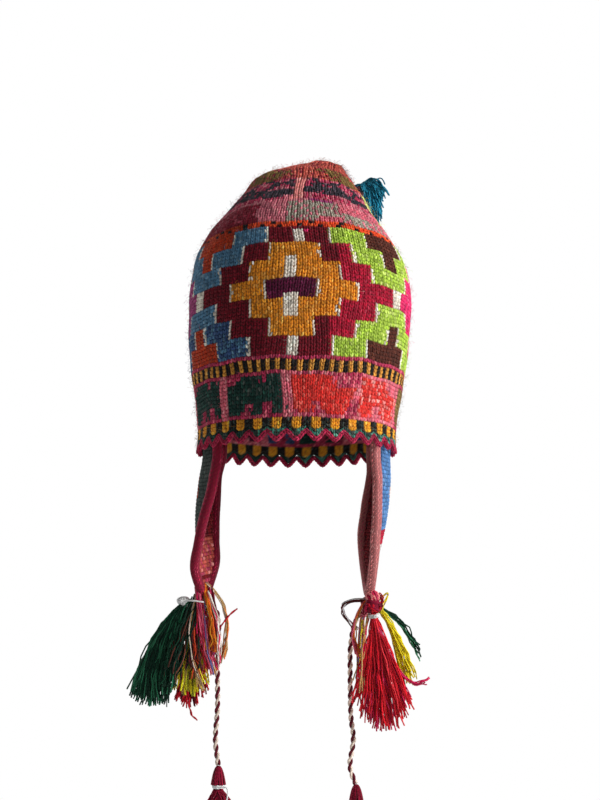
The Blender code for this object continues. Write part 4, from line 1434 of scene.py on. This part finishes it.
class HAT_OT_crown(bpy.types.Operator):
    """Knit the crown: a backing cloth with a V stitch for every place of its charts"""

    bl_idname = "hat.crown"
    bl_label = "Crown"

    def execute(self, context):
        rng = np.random.default_rng(1)
        self.backing(rng)
        row, column, span = self.places()
        foot = column + span / 2
        yarn = np.stack([crown_chart(row, foot, rng, shift) for shift in (-0.25, 0.25)])
        turn = (column + ROUND / 2) % ROUND - ROUND / 2
        front = np.abs(turn) < ROUND / 4
        band = within(row, DIAMOND_ROWS)
        for name, here in (
            ("crown_lower_stitches", row < DIAMOND_ROWS[0]),
            ("crown_front_diamond_stitches", band & front),
            ("crown_back_diamond_stitches", band & ~front),
            ("crown_upper_stitches", row >= DIAMOND_ROWS[1]),
        ):
            parts = Parts()
            level = row[here].astype(float)
            stitches(parts, crown_surface, foot[here], level, span[here], yarn[:, here], rng)
            parts.build(name, "stitch_wool", "crown_knit")
        return {"FINISHED"}

    @staticmethod
    def places():
        """Row, first column and width in columns of every stitch, fewer as the crown narrows."""
        counts = [crown_count(row) for row in range(ROWS)]
        columns = np.concatenate([np.arange(count) * ROUND / count for count in counts])
        spans = ROUND / np.array(counts)
        return np.repeat(np.arange(ROWS), counts), columns, np.repeat(spans, counts)

    @staticmethod
    def backing(rng):
        """The cloth under the stitches: the crown's face sunk a little, and its inner face."""
        size = sizes()
        parts = Parts()
        row, column = grid(np.arange(ROWS + 1.0), np.arange(float(ROUND)))
        colours = yarn_colours(crown_chart(row, column, rng), rng)
        outer = placed(crown_surface, column, row, size.proud - size.relief)
        uv = np.stack([column * 0.004, row * 0.5], -1)
        parts.add(outer, [grid_faces(*row.shape, True)], colours, uv)
        # The inner face has two rows of points to each row of knitting, and its purl bumps
        # stand out on every other one
        fine, across = grid(np.arange(2 * ROWS + 1) / 2, np.arange(2 * ROUND) / 2)
        depth = WALL * (1 - TIP_THINNING * (fine / ROWS) ** 6)
        bump = np.sin(np.pi * (fine + 0.25)) ** 2 * (0.6 + 0.4 * np.cos(2 * np.pi * across))
        bump = PURL_BUMP * bump * (0.3 + whole(2 * fine) % 2)
        inner = placed(crown_surface, across, fine, -depth + INNER_SINK - bump)
        colours = yarn_colours(crown_chart(fine, across, rng), rng) * INNER_SHADE_LIFT
        uv = np.stack([across * 0.004, fine * 0.5], -1)
        parts.add(inner, [grid_faces(*fine.shape, True)[:, ::-1]], colours, uv)
        # The rim joins each point of the outer face to two of the inner one, and a face
        # closes each tip
        around = np.arange(ROUND)
        ahead = (around + 1) % ROUND
        near, beyond = row.size + 2 * around, row.size + 2 * ahead
        rim = np.vstack([
            np.stack([near, near + 1, around], -1),
            np.stack([near + 1, beyond, around], -1),
            np.stack([beyond, ahead, around], -1),
        ])
        cap = row.size - ROUND + around
        inner_cap = row.size + fine.size - 1 - np.arange(2 * ROUND)
        parts.faces += [rim, cap[None], inner_cap[None]]
        # The backing wool darkens the cloth: painted shade in the gaps between the stitches
        parts.build("crown_backing", "backing_wool", "crown_knit", "crown")


def crown_count(row):
    """How many stitches a row of the crown has: a new count every four rows."""
    first = DIAMOND_ROWS[1]
    if row < first + 1:
        return ROUND
    block = first + COUNT_ROWS * ((row - first) // COUNT_ROWS)
    angle = np.linspace(0, 2 * np.pi, 60)
    ring = crown_section(np.full_like(angle, row_station(block + 1)), angle)
    count = 2 * round(arc_lengths(ring)[-1] / STITCH_WIDTH / 2)
    return int(min(ROUND, max(FEWEST_STITCHES, count)))


# The brim's edge: points round it, columns and the length and relief of its stitches
BRIM_POINTS = 661
BRIM_COLUMNS = 3
BRIM_PITCH = 0.0026
BRIM_RELIEF = 0.0009


class HAT_OT_brim(bpy.types.Operator):
    """Make the magenta edge that follows the scallops of the rim"""

    bl_idname = "hat.brim"
    bl_label = "Brim edge"

    def execute(self, context):
        rng = np.random.default_rng(2)
        angle = np.linspace(0, 2 * np.pi, BRIM_POINTS)
        wave = scallop(angle)
        along = rim_edge(wave) - BRIM_CORD_RADIUS - BRIM_SEAM
        out = SCALLOP_FLARE * wave - WALL / 2 + SCALLOP_FLARE / 2
        path = crown_section(np.zeros_like(angle), angle, out, along)
        length = arc_lengths(path)[-1]
        outward = unit(path - path.mean(0))
        tangent = unit(np.gradient(path, axis=0))
        upward = unit(np.cross(tangent, outward))
        count = round(length / BRIM_PITCH)
        surface = tube_surface(
            path, outward, upward, BRIM_CORD_RADIUS, BRIM_CORD_RADIUS, BRIM_COLUMNS,
            length / count,
        )
        parts = Parts()
        keys = [("magenta", "magenta")] * BRIM_COLUMNS
        knit_tube(parts, surface, keys, count, rng, BRIM_RELIEF, True)
        parts.build("brim_edge", "edge_wool", "magenta_yarn", "brim_edging")
        return {"FINISHED"}


# Sides of a knitted tube's core to a column
CORE_SIDES = 4


def knit_tube(parts, surface, keys, count, rng, relief, closed, slim=1.0, painted_shade=0.25):
    """A knitted tube: a thin core and V stitches over it, count rows long.

    keys names the yarns of its columns, the left and the right legs of each. relief is how
    high its stitches stand over the core, slim is the width of their legs beside the usual
    one, and the last argument darkens the core's yarn: painted shade in the gaps between the legs.
    """
    columns = len(keys)
    size = sizes()
    around = CORE_SIDES * columns
    rings = count if closed else count + 1
    row, column = grid(np.arange(float(rings)), np.arange(around) * columns / around)
    core = placed(surface, column, row, size.proud - relief)
    faces = grid_faces(rings, around, True)
    ring = np.arange(around)
    last = (rings - 1) * around + ring
    if closed:
        seam = np.stack([last, np.roll(last, -1), np.roll(ring, -1), ring], -1)
        groups = [np.vstack([faces, seam])]
    else:
        groups = [faces, ring[::-1][None], last[None]]
    yarn = keys_to_index(keys[0][:1])
    # The core's yarn is darkened: painted shade in the gaps between the stitches
    colours = np.repeat(yarn_colours(yarn, rng), row.size, 0) * painted_shade
    parts.add(core, groups, colours, np.stack([row * ROW_HEIGHT, column], -1))
    row, column = (value.ravel() for value in grid(np.arange(float(count)), np.arange(columns)))
    legs = np.stack([keys_to_index(side) for side in zip(*keys)])
    stitches(
        parts, surface, column + 0.5, row, np.ones(row.size), legs[:, column], rng,
        relief=relief / size.relief, slim=slim,
    )


FLAP_SIDES = {"left": (-1, LEFT_FLAP), "right": (1, RIGHT_FLAP)}
# Points of a flap's cloth up and across, and how many columns reach to each side of its middle
CLOTH_ROWS = 44
CLOTH_COLUMNS = 25
FLAP_COLUMNS = 11
# Yarns of the three columns round a flap's border, the left and the right legs of each
BORDER_YARNS = {
    "left": (("border_red", "fuchsia"), ("border_red", "dark_red"), ("border_red", "raspberry")),
    "right": (("border_pink", "border_pink"), ("salmon", "raspberry"), ("raspberry", "salmon")),
}
# Points down a side of a border, how far its yarn is sunk, and its stitches' length, relief,
# width and the painted shade of the core under them, which darkens the gaps between the legs
BORDER_POINTS = 120
BORDER_SINK = 0.0001
BORDER_PITCH = 0.0040
BORDER_RELIEF = 0.0019
BORDER_SLIM = 0.82
BORDER_CORE_PAINTED_SHADE = 0.38


def flap_span(level):
    """The middle and half the span in y of a flap at a level."""
    place = np.interp(-level, -FLAP_OUTLINE[:, 0], np.arange(len(FLAP_OUTLINE)))
    return np.moveaxis(table_at(FLAP_OUTLINE[:, 1:], place), -1, 0)


class HAT_OT_flaps(bpy.types.Operator):
    """Knit the two ear flaps"""

    bl_idname = "hat.flaps"
    bl_label = "Ear flaps"

    def execute(self, context):
        for seed, (name, (side, table)) in enumerate(FLAP_SIDES.items(), 31):
            rng = np.random.default_rng(seed)
            cloth = self.cloth(name, side, table, rng)
            knit = self.knit(name, side, table, rng)
        return {"FINISHED"}

    @staticmethod
    def cloth(name, side, table, rng):
        """The flap's thin cloth, a closed shell inside its outline."""
        top, tip = FLAP_OUTLINE[0, 0], FLAP_OUTLINE[-1, 0]
        level, across = grid(
            np.linspace(tip, top, CLOTH_ROWS), np.linspace(-1, 1, CLOTH_COLUMNS)
        )
        middle, half = flap_span(level)
        y = middle + half * across
        row = level / ROW_HEIGHT
        size = sizes()
        sunk = WALL / 2 + size.proud - size.relief
        shells, colours = [], []
        for facing in (1, -1):
            surface = flap_surface(side, table, facing)
            column = side * facing * y / STITCH_WIDTH
            shells.append(placed(surface, column, row, sunk))
            colours.append(yarn_colours(flap_chart(side, facing, row, column), rng))
        places = np.arange(level.size).reshape(level.shape)
        edge = np.concatenate([
            places[0], places[1:, -1], places[-1, -2::-1], places[-2:0:-1, 0],
        ])
        ahead = np.roll(edge, -1)
        rim = np.stack([edge, level.size + edge, level.size + ahead, ahead], -1)[:, ::side]
        faces = grid_faces(CLOTH_ROWS, CLOTH_COLUMNS, False)[:, ::side]
        parts = Parts()
        parts.add(
            np.stack(shells), [faces, faces[:, ::-1] + level.size, rim],
            np.vstack(colours), np.stack([np.stack([y, row], -1)] * 2),
        )
        # The backing wool darkens the cloth: painted shade in the gaps between the stitches
        return parts.build(
            name + "_flap_cloth", "backing_wool", name + "_flap_knit", name + "_flap"
        )

    @staticmethod
    def knit(name, side, table, rng):
        """V stitches over both faces of the flap, where they lie inside its outline."""
        parts = Parts()
        low = math.ceil(FLAP_OUTLINE[-1, 0] / ROW_HEIGHT)
        high = math.floor(FLAP_OUTLINE[0, 0] / ROW_HEIGHT) - 1
        row, column = grid(np.arange(low, high + 1), np.arange(-FLAP_COLUMNS, FLAP_COLUMNS))
        row, column = row.ravel(), column.ravel()
        middle, half = flap_span((row + 0.4) * ROW_HEIGHT)
        for facing in (1, -1):
            y = side * facing * (column + 0.5) * STITCH_WIDTH
            here = np.abs(y - middle) < half - 0.25 * STITCH_WIDTH
            yarn = np.stack([flap_chart(side, facing, row[here], column[here])] * 2)
            stitches(
                parts, flap_surface(side, table, facing), column[here] + 0.5,
                row[here].astype(float), np.ones(here.sum()), yarn, rng, lift=WALL / 2,
            )
        return parts.build(name + "_flap_stitches", "stitch_wool", name + "_flap_knit")


class HAT_OT_flap_borders(bpy.types.Operator):
    """Knit the thick borders round the flaps"""

    bl_idname = "hat.flap_borders"
    bl_label = "Flap borders"

    def execute(self, context):
        for seed, (name, (side, table)) in enumerate(FLAP_SIDES.items(), 41):
            rng = np.random.default_rng(seed)
            path, flat, outward = self.path(side, table)
            length = arc_lengths(path)[-1]
            count = round(length / BORDER_PITCH)
            keys = BORDER_YARNS[name]
            surface = tube_surface(
                path, flat, outward, EDGING_WIDTH / 2 - BORDER_SINK,
                EDGING_THICKNESS / 2 - BORDER_SINK, len(keys), length / count, 1.0,
            )
            parts = Parts()
            knit_tube(
                parts, surface, keys, count, rng, BORDER_RELIEF, False, BORDER_SLIM,
                BORDER_CORE_PAINTED_SHADE,
            )
            slot = "pink_border" if side > 0 else "red_border"
            parts.build(name + "_flap_border", "border_wool", slot, name + "_flap_edging")
        return {"FINISHED"}

    @staticmethod
    def path(side, table):
        """The border's centre line with its wide and thick directions.

        It is the flap's outline, down the front and up the back, moved out by half the
        border's width square to itself.
        """
        place = np.linspace(0, len(FLAP_OUTLINE) - 1, BORDER_POINTS)
        level, middle, half = np.moveaxis(table_at(FLAP_OUTLINE, place), -1, 0)
        y = np.concatenate([middle - half, (middle + half)[::-1]])
        z = leaned(np.concatenate([level, level[::-1]]), y)
        run = unit(np.gradient(np.stack([y, z], -1), axis=0))
        reach = EDGING_WIDTH / 2 + TOUCH
        y, z = y + reach * run[:, 1], z - reach * run[:, 0]
        step = 0.002
        across = flap_point(side, table, y + step, z) - flap_point(side, table, y - step, z)
        down = flap_point(side, table, y, z - step) - flap_point(side, table, y, z + step)
        outward = side * unit(np.cross(across, down))
        path = flap_point(side, table, y, z)
        path[:, 0] -= side * EDGING_TUCK * ((z - TUCK_END) / (TUCK_TOP - TUCK_END)).clip(0, 1)
        tangent = unit(np.gradient(path, axis=0))
        return path, unit(np.cross(tangent, outward)), outward


# A ball's core: rings and sides, its size beside the ball's, and the painted shade that darkens
# its yarn where it shows between the turns
CORE_RINGS = 9
CORE_AROUND = 12
CORE_SIZE = 0.86
CORE_PAINTED_SHADE = 0.5


def wrapped_ball(parts, centre, size, turns, radius, keys, rng):
    """A ball wound with yarn: closed loops, each a tilted ring on an ellipsoid."""
    angle = np.linspace(0, 2 * np.pi, TURN_POINTS)
    axis = unit(rng.normal(size=(turns, 3)) * (1.0, 1.0, 0.55))
    helper = unit(np.cross(axis, unit(rng.normal(size=(turns, 3)))))
    other = np.cross(axis, helper)
    shift = rng.uniform(-0.62, 0.62, turns)[:, None, None]
    ring = circle(angle, helper[:, None], other[:, None])
    sphere = np.sqrt(1 - shift**2) * ring + shift * axis[:, None]
    reach = np.array(size) - radius * 0.6
    paths = np.array(centre) + sphere * reach * (1 + rng.uniform(-0.06, 0.06, (turns, 1, 1)))
    strands(parts, paths, radius, keys_to_index(rng.choice(keys, turns)), rng)


def ball_core(parts, centre, size, key, rng):
    """The solid core of a ball: rings of an ellipsoid by angle from its pole."""
    polar, angle = grid(
        np.linspace(0.02, np.pi - 0.02, CORE_RINGS),
        2 * np.pi * np.arange(CORE_AROUND) / CORE_AROUND,
    )
    flat = np.sin(polar)
    ball = np.stack([flat * np.cos(angle), flat * np.sin(angle), -np.cos(polar)], -1)
    points = np.array(centre) + ball * np.array(size) * CORE_SIZE
    around = np.arange(CORE_AROUND)
    caps = [around[::-1][None], (angle.size - CORE_AROUND + around)[None]]
    faces = [grid_faces(CORE_RINGS, CORE_AROUND, True), *caps]
    # Painted shade: the core's yarn is darkened where it shows between the turns
    colours = np.repeat(yarn_colours(keys_to_index([key]), rng), angle.size, 0) * CORE_PAINTED_SHADE
    parts.add(points, faces, colours, np.stack([angle * 0.001, polar], -1))


# Strands over an end tassel's head: how many, radius, and how far they are sunk
DRAPED_STRANDS = 64
DRAPED_RADIUS = 0.00055
DRAPED_SINK = 0.0004


def draped_head(parts, centre, size, keys, rng):
    """Strands that fall over a head from its top, a little askew.

    Their heights are those of an ellipsoid's meridians and their reach is the sine of half the
    angle from the top, so the head widens like a cone down to its neck.
    """
    count = DRAPED_STRANDS
    polar = np.linspace(0.12, 0.93 * np.pi, DRAPED_POINTS)[None]
    around = np.linspace(0, 2 * np.pi, count, endpoint=False)[:, None]
    around = around + rng.normal(0, 0.08, (count, 1)) + rng.normal(0, 0.10, (count, 1)) * polar
    reach = np.sin(polar / 2) ** 0.8 * rng.uniform(0.84, 0.98, (count, 1))
    height = np.broadcast_to(np.cos(polar), around.shape)
    ball = np.stack([reach * np.cos(around), reach * np.sin(around), height], -1)
    paths = np.array(centre) + ball * (np.array(size) - DRAPED_SINK)
    strands(parts, paths, DRAPED_RADIUS, keys_to_index(rng.choice(keys, count)), rng)


# Turns and radius of the yarn round a knot, and round a tassel's head
KNOT_TURNS, KNOT_YARN = 26, 0.00085
HEAD_TURNS, HEAD_YARN = 16, 0.0007


class HAT_OT_knots(bpy.types.Operator):
    """Make the knots of yarn ends at the flaps' tips"""

    bl_idname = "hat.knots"
    bl_label = "Knots"

    def execute(self, context):
        for seed, (name, (centre, size, keys)) in enumerate(KNOTS.items(), 51):
            rng = np.random.default_rng(seed)
            parts = Parts()
            ball_core(parts, centre, size, keys[0], rng)
            wrapped_ball(parts, centre, size, KNOT_TURNS, KNOT_YARN, keys, rng)
            parts.build(name + "_yarn", "tassel_wool", "mixed_yarn", name)
        return {"FINISHED"}


def tassel_paths(name, tassel, rng):
    """Paths of a tassel's strands, as an array of strands by points.

    A strand leaves the head, passes the neck and follows its lock's curve, a parabola through
    the lock's start, middle and end, each shaken inside the lock, with a slow wave across.
    """
    head, neck = np.array(tassel.head), np.array(tassel.neck)
    first, last = np.array(tassel.first), np.array(tassel.last)
    share = np.arange(tassel.locks) / max(tassel.locks - 1, 1)
    ends = first + share[:, None] * (last - first)
    ends[:, 2] -= tassel.drop * np.sin(np.pi * share)
    ends = np.repeat(ends, tassel.strands, 0)
    count = len(ends)
    middle = neck + 0.45 * (ends - neck) + np.array(tassel.swell)
    middle = middle + ball_shake(rng, count) * tassel.radius * 1.15
    ends = ends + ball_shake(rng, count) * tassel.radius * 1.2
    ends = ends + rng.normal(0, LOCK_SPREAD, (count, 1)) * unit(last - first)
    ends = ends + unit(ends - middle) * rng.uniform(*STRAND_LONGER, (count, 1))
    ends[:, 2] = ends[:, 2].clip(min(first[2], last[2]) - tassel.drop)
    tied = [reach - TIE_DEPTH for tied_name, reach in TIES.values() if tied_name == name]
    neck_radius = tied[0] if tied else NECK_RADIUS
    start = head + LOCK_START * (neck - head)
    start = start + ball_shake(rng, count) * neck_radius * 0.9
    t = np.linspace(0, 1, STRAND_POINTS)[None, :, None]
    phase = rng.random((count, 1, 1)) * 2 * np.pi
    turns = phase + rng.uniform(1.5, 4.0, (count, 1, 1)) * 2 * np.pi * t
    reach = WAVES.get(name, USUAL_WAVE) * rng.uniform(0.4, 1.3, (count, 1, 1)) * t**0.7
    sway = unit(np.cross(ends - start, rng.normal(size=(count, 3))))
    other = unit(np.cross(ends - start, sway))
    wave = np.sin(turns) * sway[:, None] + 0.6 * np.cos(turns) * other[:, None]
    curve = parabola(start, middle, ends, t) + reach * wave
    root = head + 0.25 * (neck - head) + ball_shake(rng, count) * NECK_RADIUS * 0.6
    return np.concatenate([root[:, None], curve], 1)


def ball_shake(rng, count):
    """Random points inside a ball of radius one."""
    return unit(rng.normal(size=(count, 3))) * rng.random((count, 1)) ** (1 / 3)


class HAT_OT_tassels(bpy.types.Operator):
    """Make the tassels, strand by strand"""

    bl_idname = "hat.tassels"
    bl_label = "Tassels"

    def execute(self, context):
        for seed, (name, tassel) in enumerate(TASSELS.items(), 61):
            rng = np.random.default_rng(seed)
            parts = Parts()
            heads = HEAD_YARNS.get(name, tassel.colours[:3])
            head = np.array(tassel.head)
            if name.endswith("end_tassel"):
                draped_head(parts, head, tassel.size, heads, rng)
            else:
                ball_core(parts, head, tassel.size, heads[0], rng)
                balls = DOUBLE_HEAD if name == "right_red_tassel" else (
                    (0.0, tassel.size, HEAD_TURNS, HEAD_YARN, heads),
                )
                for up, size, turns, radius, keys in balls:
                    wrapped_ball(parts, head + (0, 0, up), size, turns, radius, keys, rng)
            paths = tassel_paths(name, tassel, rng)
            pick = rng.choice(tassel.colours, len(paths))
            radius = sizes().strand * rng.uniform(0.85, 1.2, (len(paths), 1))
            strands(parts, paths, radius, keys_to_index(pick), rng)
            parts.build(name + "_strands", "tassel_wool", tassel.slot, name)
        return {"FINISHED"}


class HAT_OT_loose_yarn(bpy.types.Operator):
    """Make the loose ends and loops round the knots at the flaps' tips"""

    bl_idname = "hat.loose_yarn"
    bl_label = "Loose yarn"

    def execute(self, context):
        for seed, (name, bundles) in enumerate(LOOSE.items(), 101):
            rng = np.random.default_rng(seed)
            parts = Parts()
            for bundle in bundles:
                paths = bundle_paths(bundle, rng)
                pick = [bundle.colours[i % len(bundle.colours)] for i in range(bundle.count)]
                strands(parts, paths, sizes().strand, keys_to_index(pick), rng)
            slot = "teal_yarn" if name.startswith("crown") else "mixed_yarn"
            parts.build(name, "tassel_wool", slot)
        return {"FINISHED"}


def bundle_paths(bundle, rng):
    """Paths of a bundle's strands: parabolas from its start by its pull to its end, shaken."""
    count = bundle.count
    start, pull, end = (
        np.array(place) + ball_shake(rng, count) * bundle.spread * share
        for place, share in ((bundle.start, 0.8), (bundle.pull, 1.3), (bundle.end, 1.5))
    )
    t = np.linspace(0, 1, LOOSE_POINTS)[None, :, None]
    turns = rng.random((count, 1, 1)) * 6 + rng.uniform(8, 24, (count, 1, 1)) * t
    sway = unit(np.cross(end - start, rng.normal(size=(count, 3))))[:, None]
    reach = 0.0006 + 0.26 * bundle.spread
    return parabola(start, pull, end, t) + reach * t**0.6 * np.sin(turns) * sway


# A binding: its turns, its length along the neck, how far its yarn is sunk, and the radius of
# its yarn and of the knot's ends
TIE_TURNS = 3
TIE_LENGTH = 0.0026
TIE_SINK = 0.0006
TIE_YARN = 0.00055
TIE_END_YARN = 0.0006


class HAT_OT_ties(bpy.types.Operator):
    """Make the yarn bound round the tassels' necks, with its knots and ends"""

    bl_idname = "hat.ties"
    bl_label = "Bindings"

    def execute(self, context):
        chalk = keys_to_index(["chalk"])
        for seed, (name, (tassel_name, reach)) in enumerate(TIES.items(), 81):
            rng = np.random.default_rng(seed)
            tassel = TASSELS[tassel_name]
            neck = np.array(tassel.neck)
            axis = unit(neck - tassel.head)
            first = unit(np.cross(axis, (0.0, 1.0, 0.0)))
            t = np.linspace(0, 1, TIE_POINTS)
            angle = 2 * np.pi * TIE_TURNS * t
            radius = (reach - TIE_SINK) * (1 + 0.03 * np.sin(2.3 * angle))
            helix = neck + (TIE_LENGTH * (t - 0.5))[:, None] * axis
            helix = helix + radius[:, None] * circle(angle, first, np.cross(axis, first))
            parts = Parts()
            strands(parts, helix[None], TIE_YARN, chalk, rng, sides=6)
            at, size, ends = TIE_KNOTS[name]
            wrapped_ball(parts, neck + at, size, 7, size[0] * 0.30, ["chalk"], rng)
            for bend, end in ends:
                route = np.array(((0.0, 0.0, 0.0), bend, end)) + at + neck
                path = smooth_route(route, TIE_END_POINTS)
                strands(parts, path[None], TIE_END_YARN, chalk, rng, sides=6)
            parts.build(name + "_thread", "thread_wool", "white_yarn", name)
        return {"FINISHED"}


class HAT_OT_declare(bpy.types.Operator):
    """Trace the tie cords' centre lines again, after everything on them is made, and leave them
    unused
    """

    bl_idname = "hat.declare"
    bl_label = "Declare cords"

    def execute(self, context):
        for side, route in (("left", LEFT_CORD), ("right", RIGHT_CORD)):
            path = smooth_route(route, CORD_POINTS)
        return {"FINISHED"}


# Loose fibres: radius, how high they stand, and how low they start over the crown's face
FIBRE_RADIUS = 0.00006
FIBRE_LIFT = (0.0006, 0.0034)
FIBRE_FOOT = 0.0001


class HAT_OT_fibres(bpy.types.Operator):
    """Make the loose fibres that stand off the knit"""

    bl_idname = "hat.fibres"
    bl_label = "Loose fibres"

    def execute(self, context):
        rng = np.random.default_rng(91)
        count = sizes().fibres
        column = rng.random(count) * ROUND
        row = ROWS * rng.random(count) ** 1.15
        yarn = crown_chart(row, column, rng)
        t = np.linspace(0, 1, FIBRE_POINTS)[None]
        bend = rng.normal(0, 0.6, (count, 1))
        heading = rng.random((count, 1)) * 2 * np.pi
        reach = rng.uniform(0.4, 1.3, (count, 1))
        across = column[:, None] + reach * t * np.cos(heading + bend * t)
        upward = row[:, None] + 1.3 * reach * t * np.sin(heading + bend * t)
        lift = rng.uniform(*FIBRE_LIFT, (count, 1)) * rng.choice((1, 1, 1, 1.5), (count, 1))
        height = FIBRE_FOOT + lift * np.sin(np.pi * t * rng.uniform(0.45, 0.9, (count, 1)))
        paths = placed(crown_surface, across, upward, height)
        parts = Parts()
        strands(parts, paths, FIBRE_RADIUS, yarn, rng, sides=3)
        parts.build("crown_fibres", "fibre_wool", "crown_knit")
        return {"FINISHED"}


class HAT_PT_panel(bpy.types.Panel):
    """Panel that lists the hat's settings and pieces"""

    bl_label = "Knitted hat"
    bl_idname = "HAT_PT_panel"
    bl_space_type = "VIEW_3D"
    bl_region_type = "UI"
    bl_category = "Hat"

    def draw(self, context):
        layout = self.layout
        for name in HatSizes.__annotations__:
            layout.prop(context.scene.hat_sizes, name)
        for operator in OPERATORS:
            layout.operator(operator.bl_idname)
        for name in YARNS:
            layout.prop(context.scene.hat_yarns, name)


OPERATORS = (
    HAT_OT_stage,
    HAT_OT_wools,
    HAT_OT_tie_cords,
    HAT_OT_crown,
    HAT_OT_brim,
    HAT_OT_flaps,
    HAT_OT_flap_borders,
    HAT_OT_knots,
    HAT_OT_tassels,
    HAT_OT_loose_yarn,
    HAT_OT_ties,
    HAT_OT_fibres,
    HAT_OT_declare,
)
CLASSES = (HatYarns, HatSizes, *OPERATORS, HAT_PT_panel)


def register():
    """Register the classes and the settings."""
    for cls in CLASSES:
        bpy.utils.register_class(cls)
    bpy.types.Scene.hat_yarns = bpy.props.PointerProperty(type=HatYarns)
    bpy.types.Scene.hat_sizes = bpy.props.PointerProperty(type=HatSizes)


def unregister():
    """Remove the settings and the classes."""
    del bpy.types.Scene.hat_sizes
    del bpy.types.Scene.hat_yarns
    for cls in reversed(CLASSES):
        bpy.utils.unregister_class(cls)


def main():
    """Build the hat."""
    register()
    for operator in OPERATORS:
        family, name = operator.bl_idname.split(".")
        getattr(getattr(bpy.ops, family), name)()


if __name__ == "__main__":
    main()
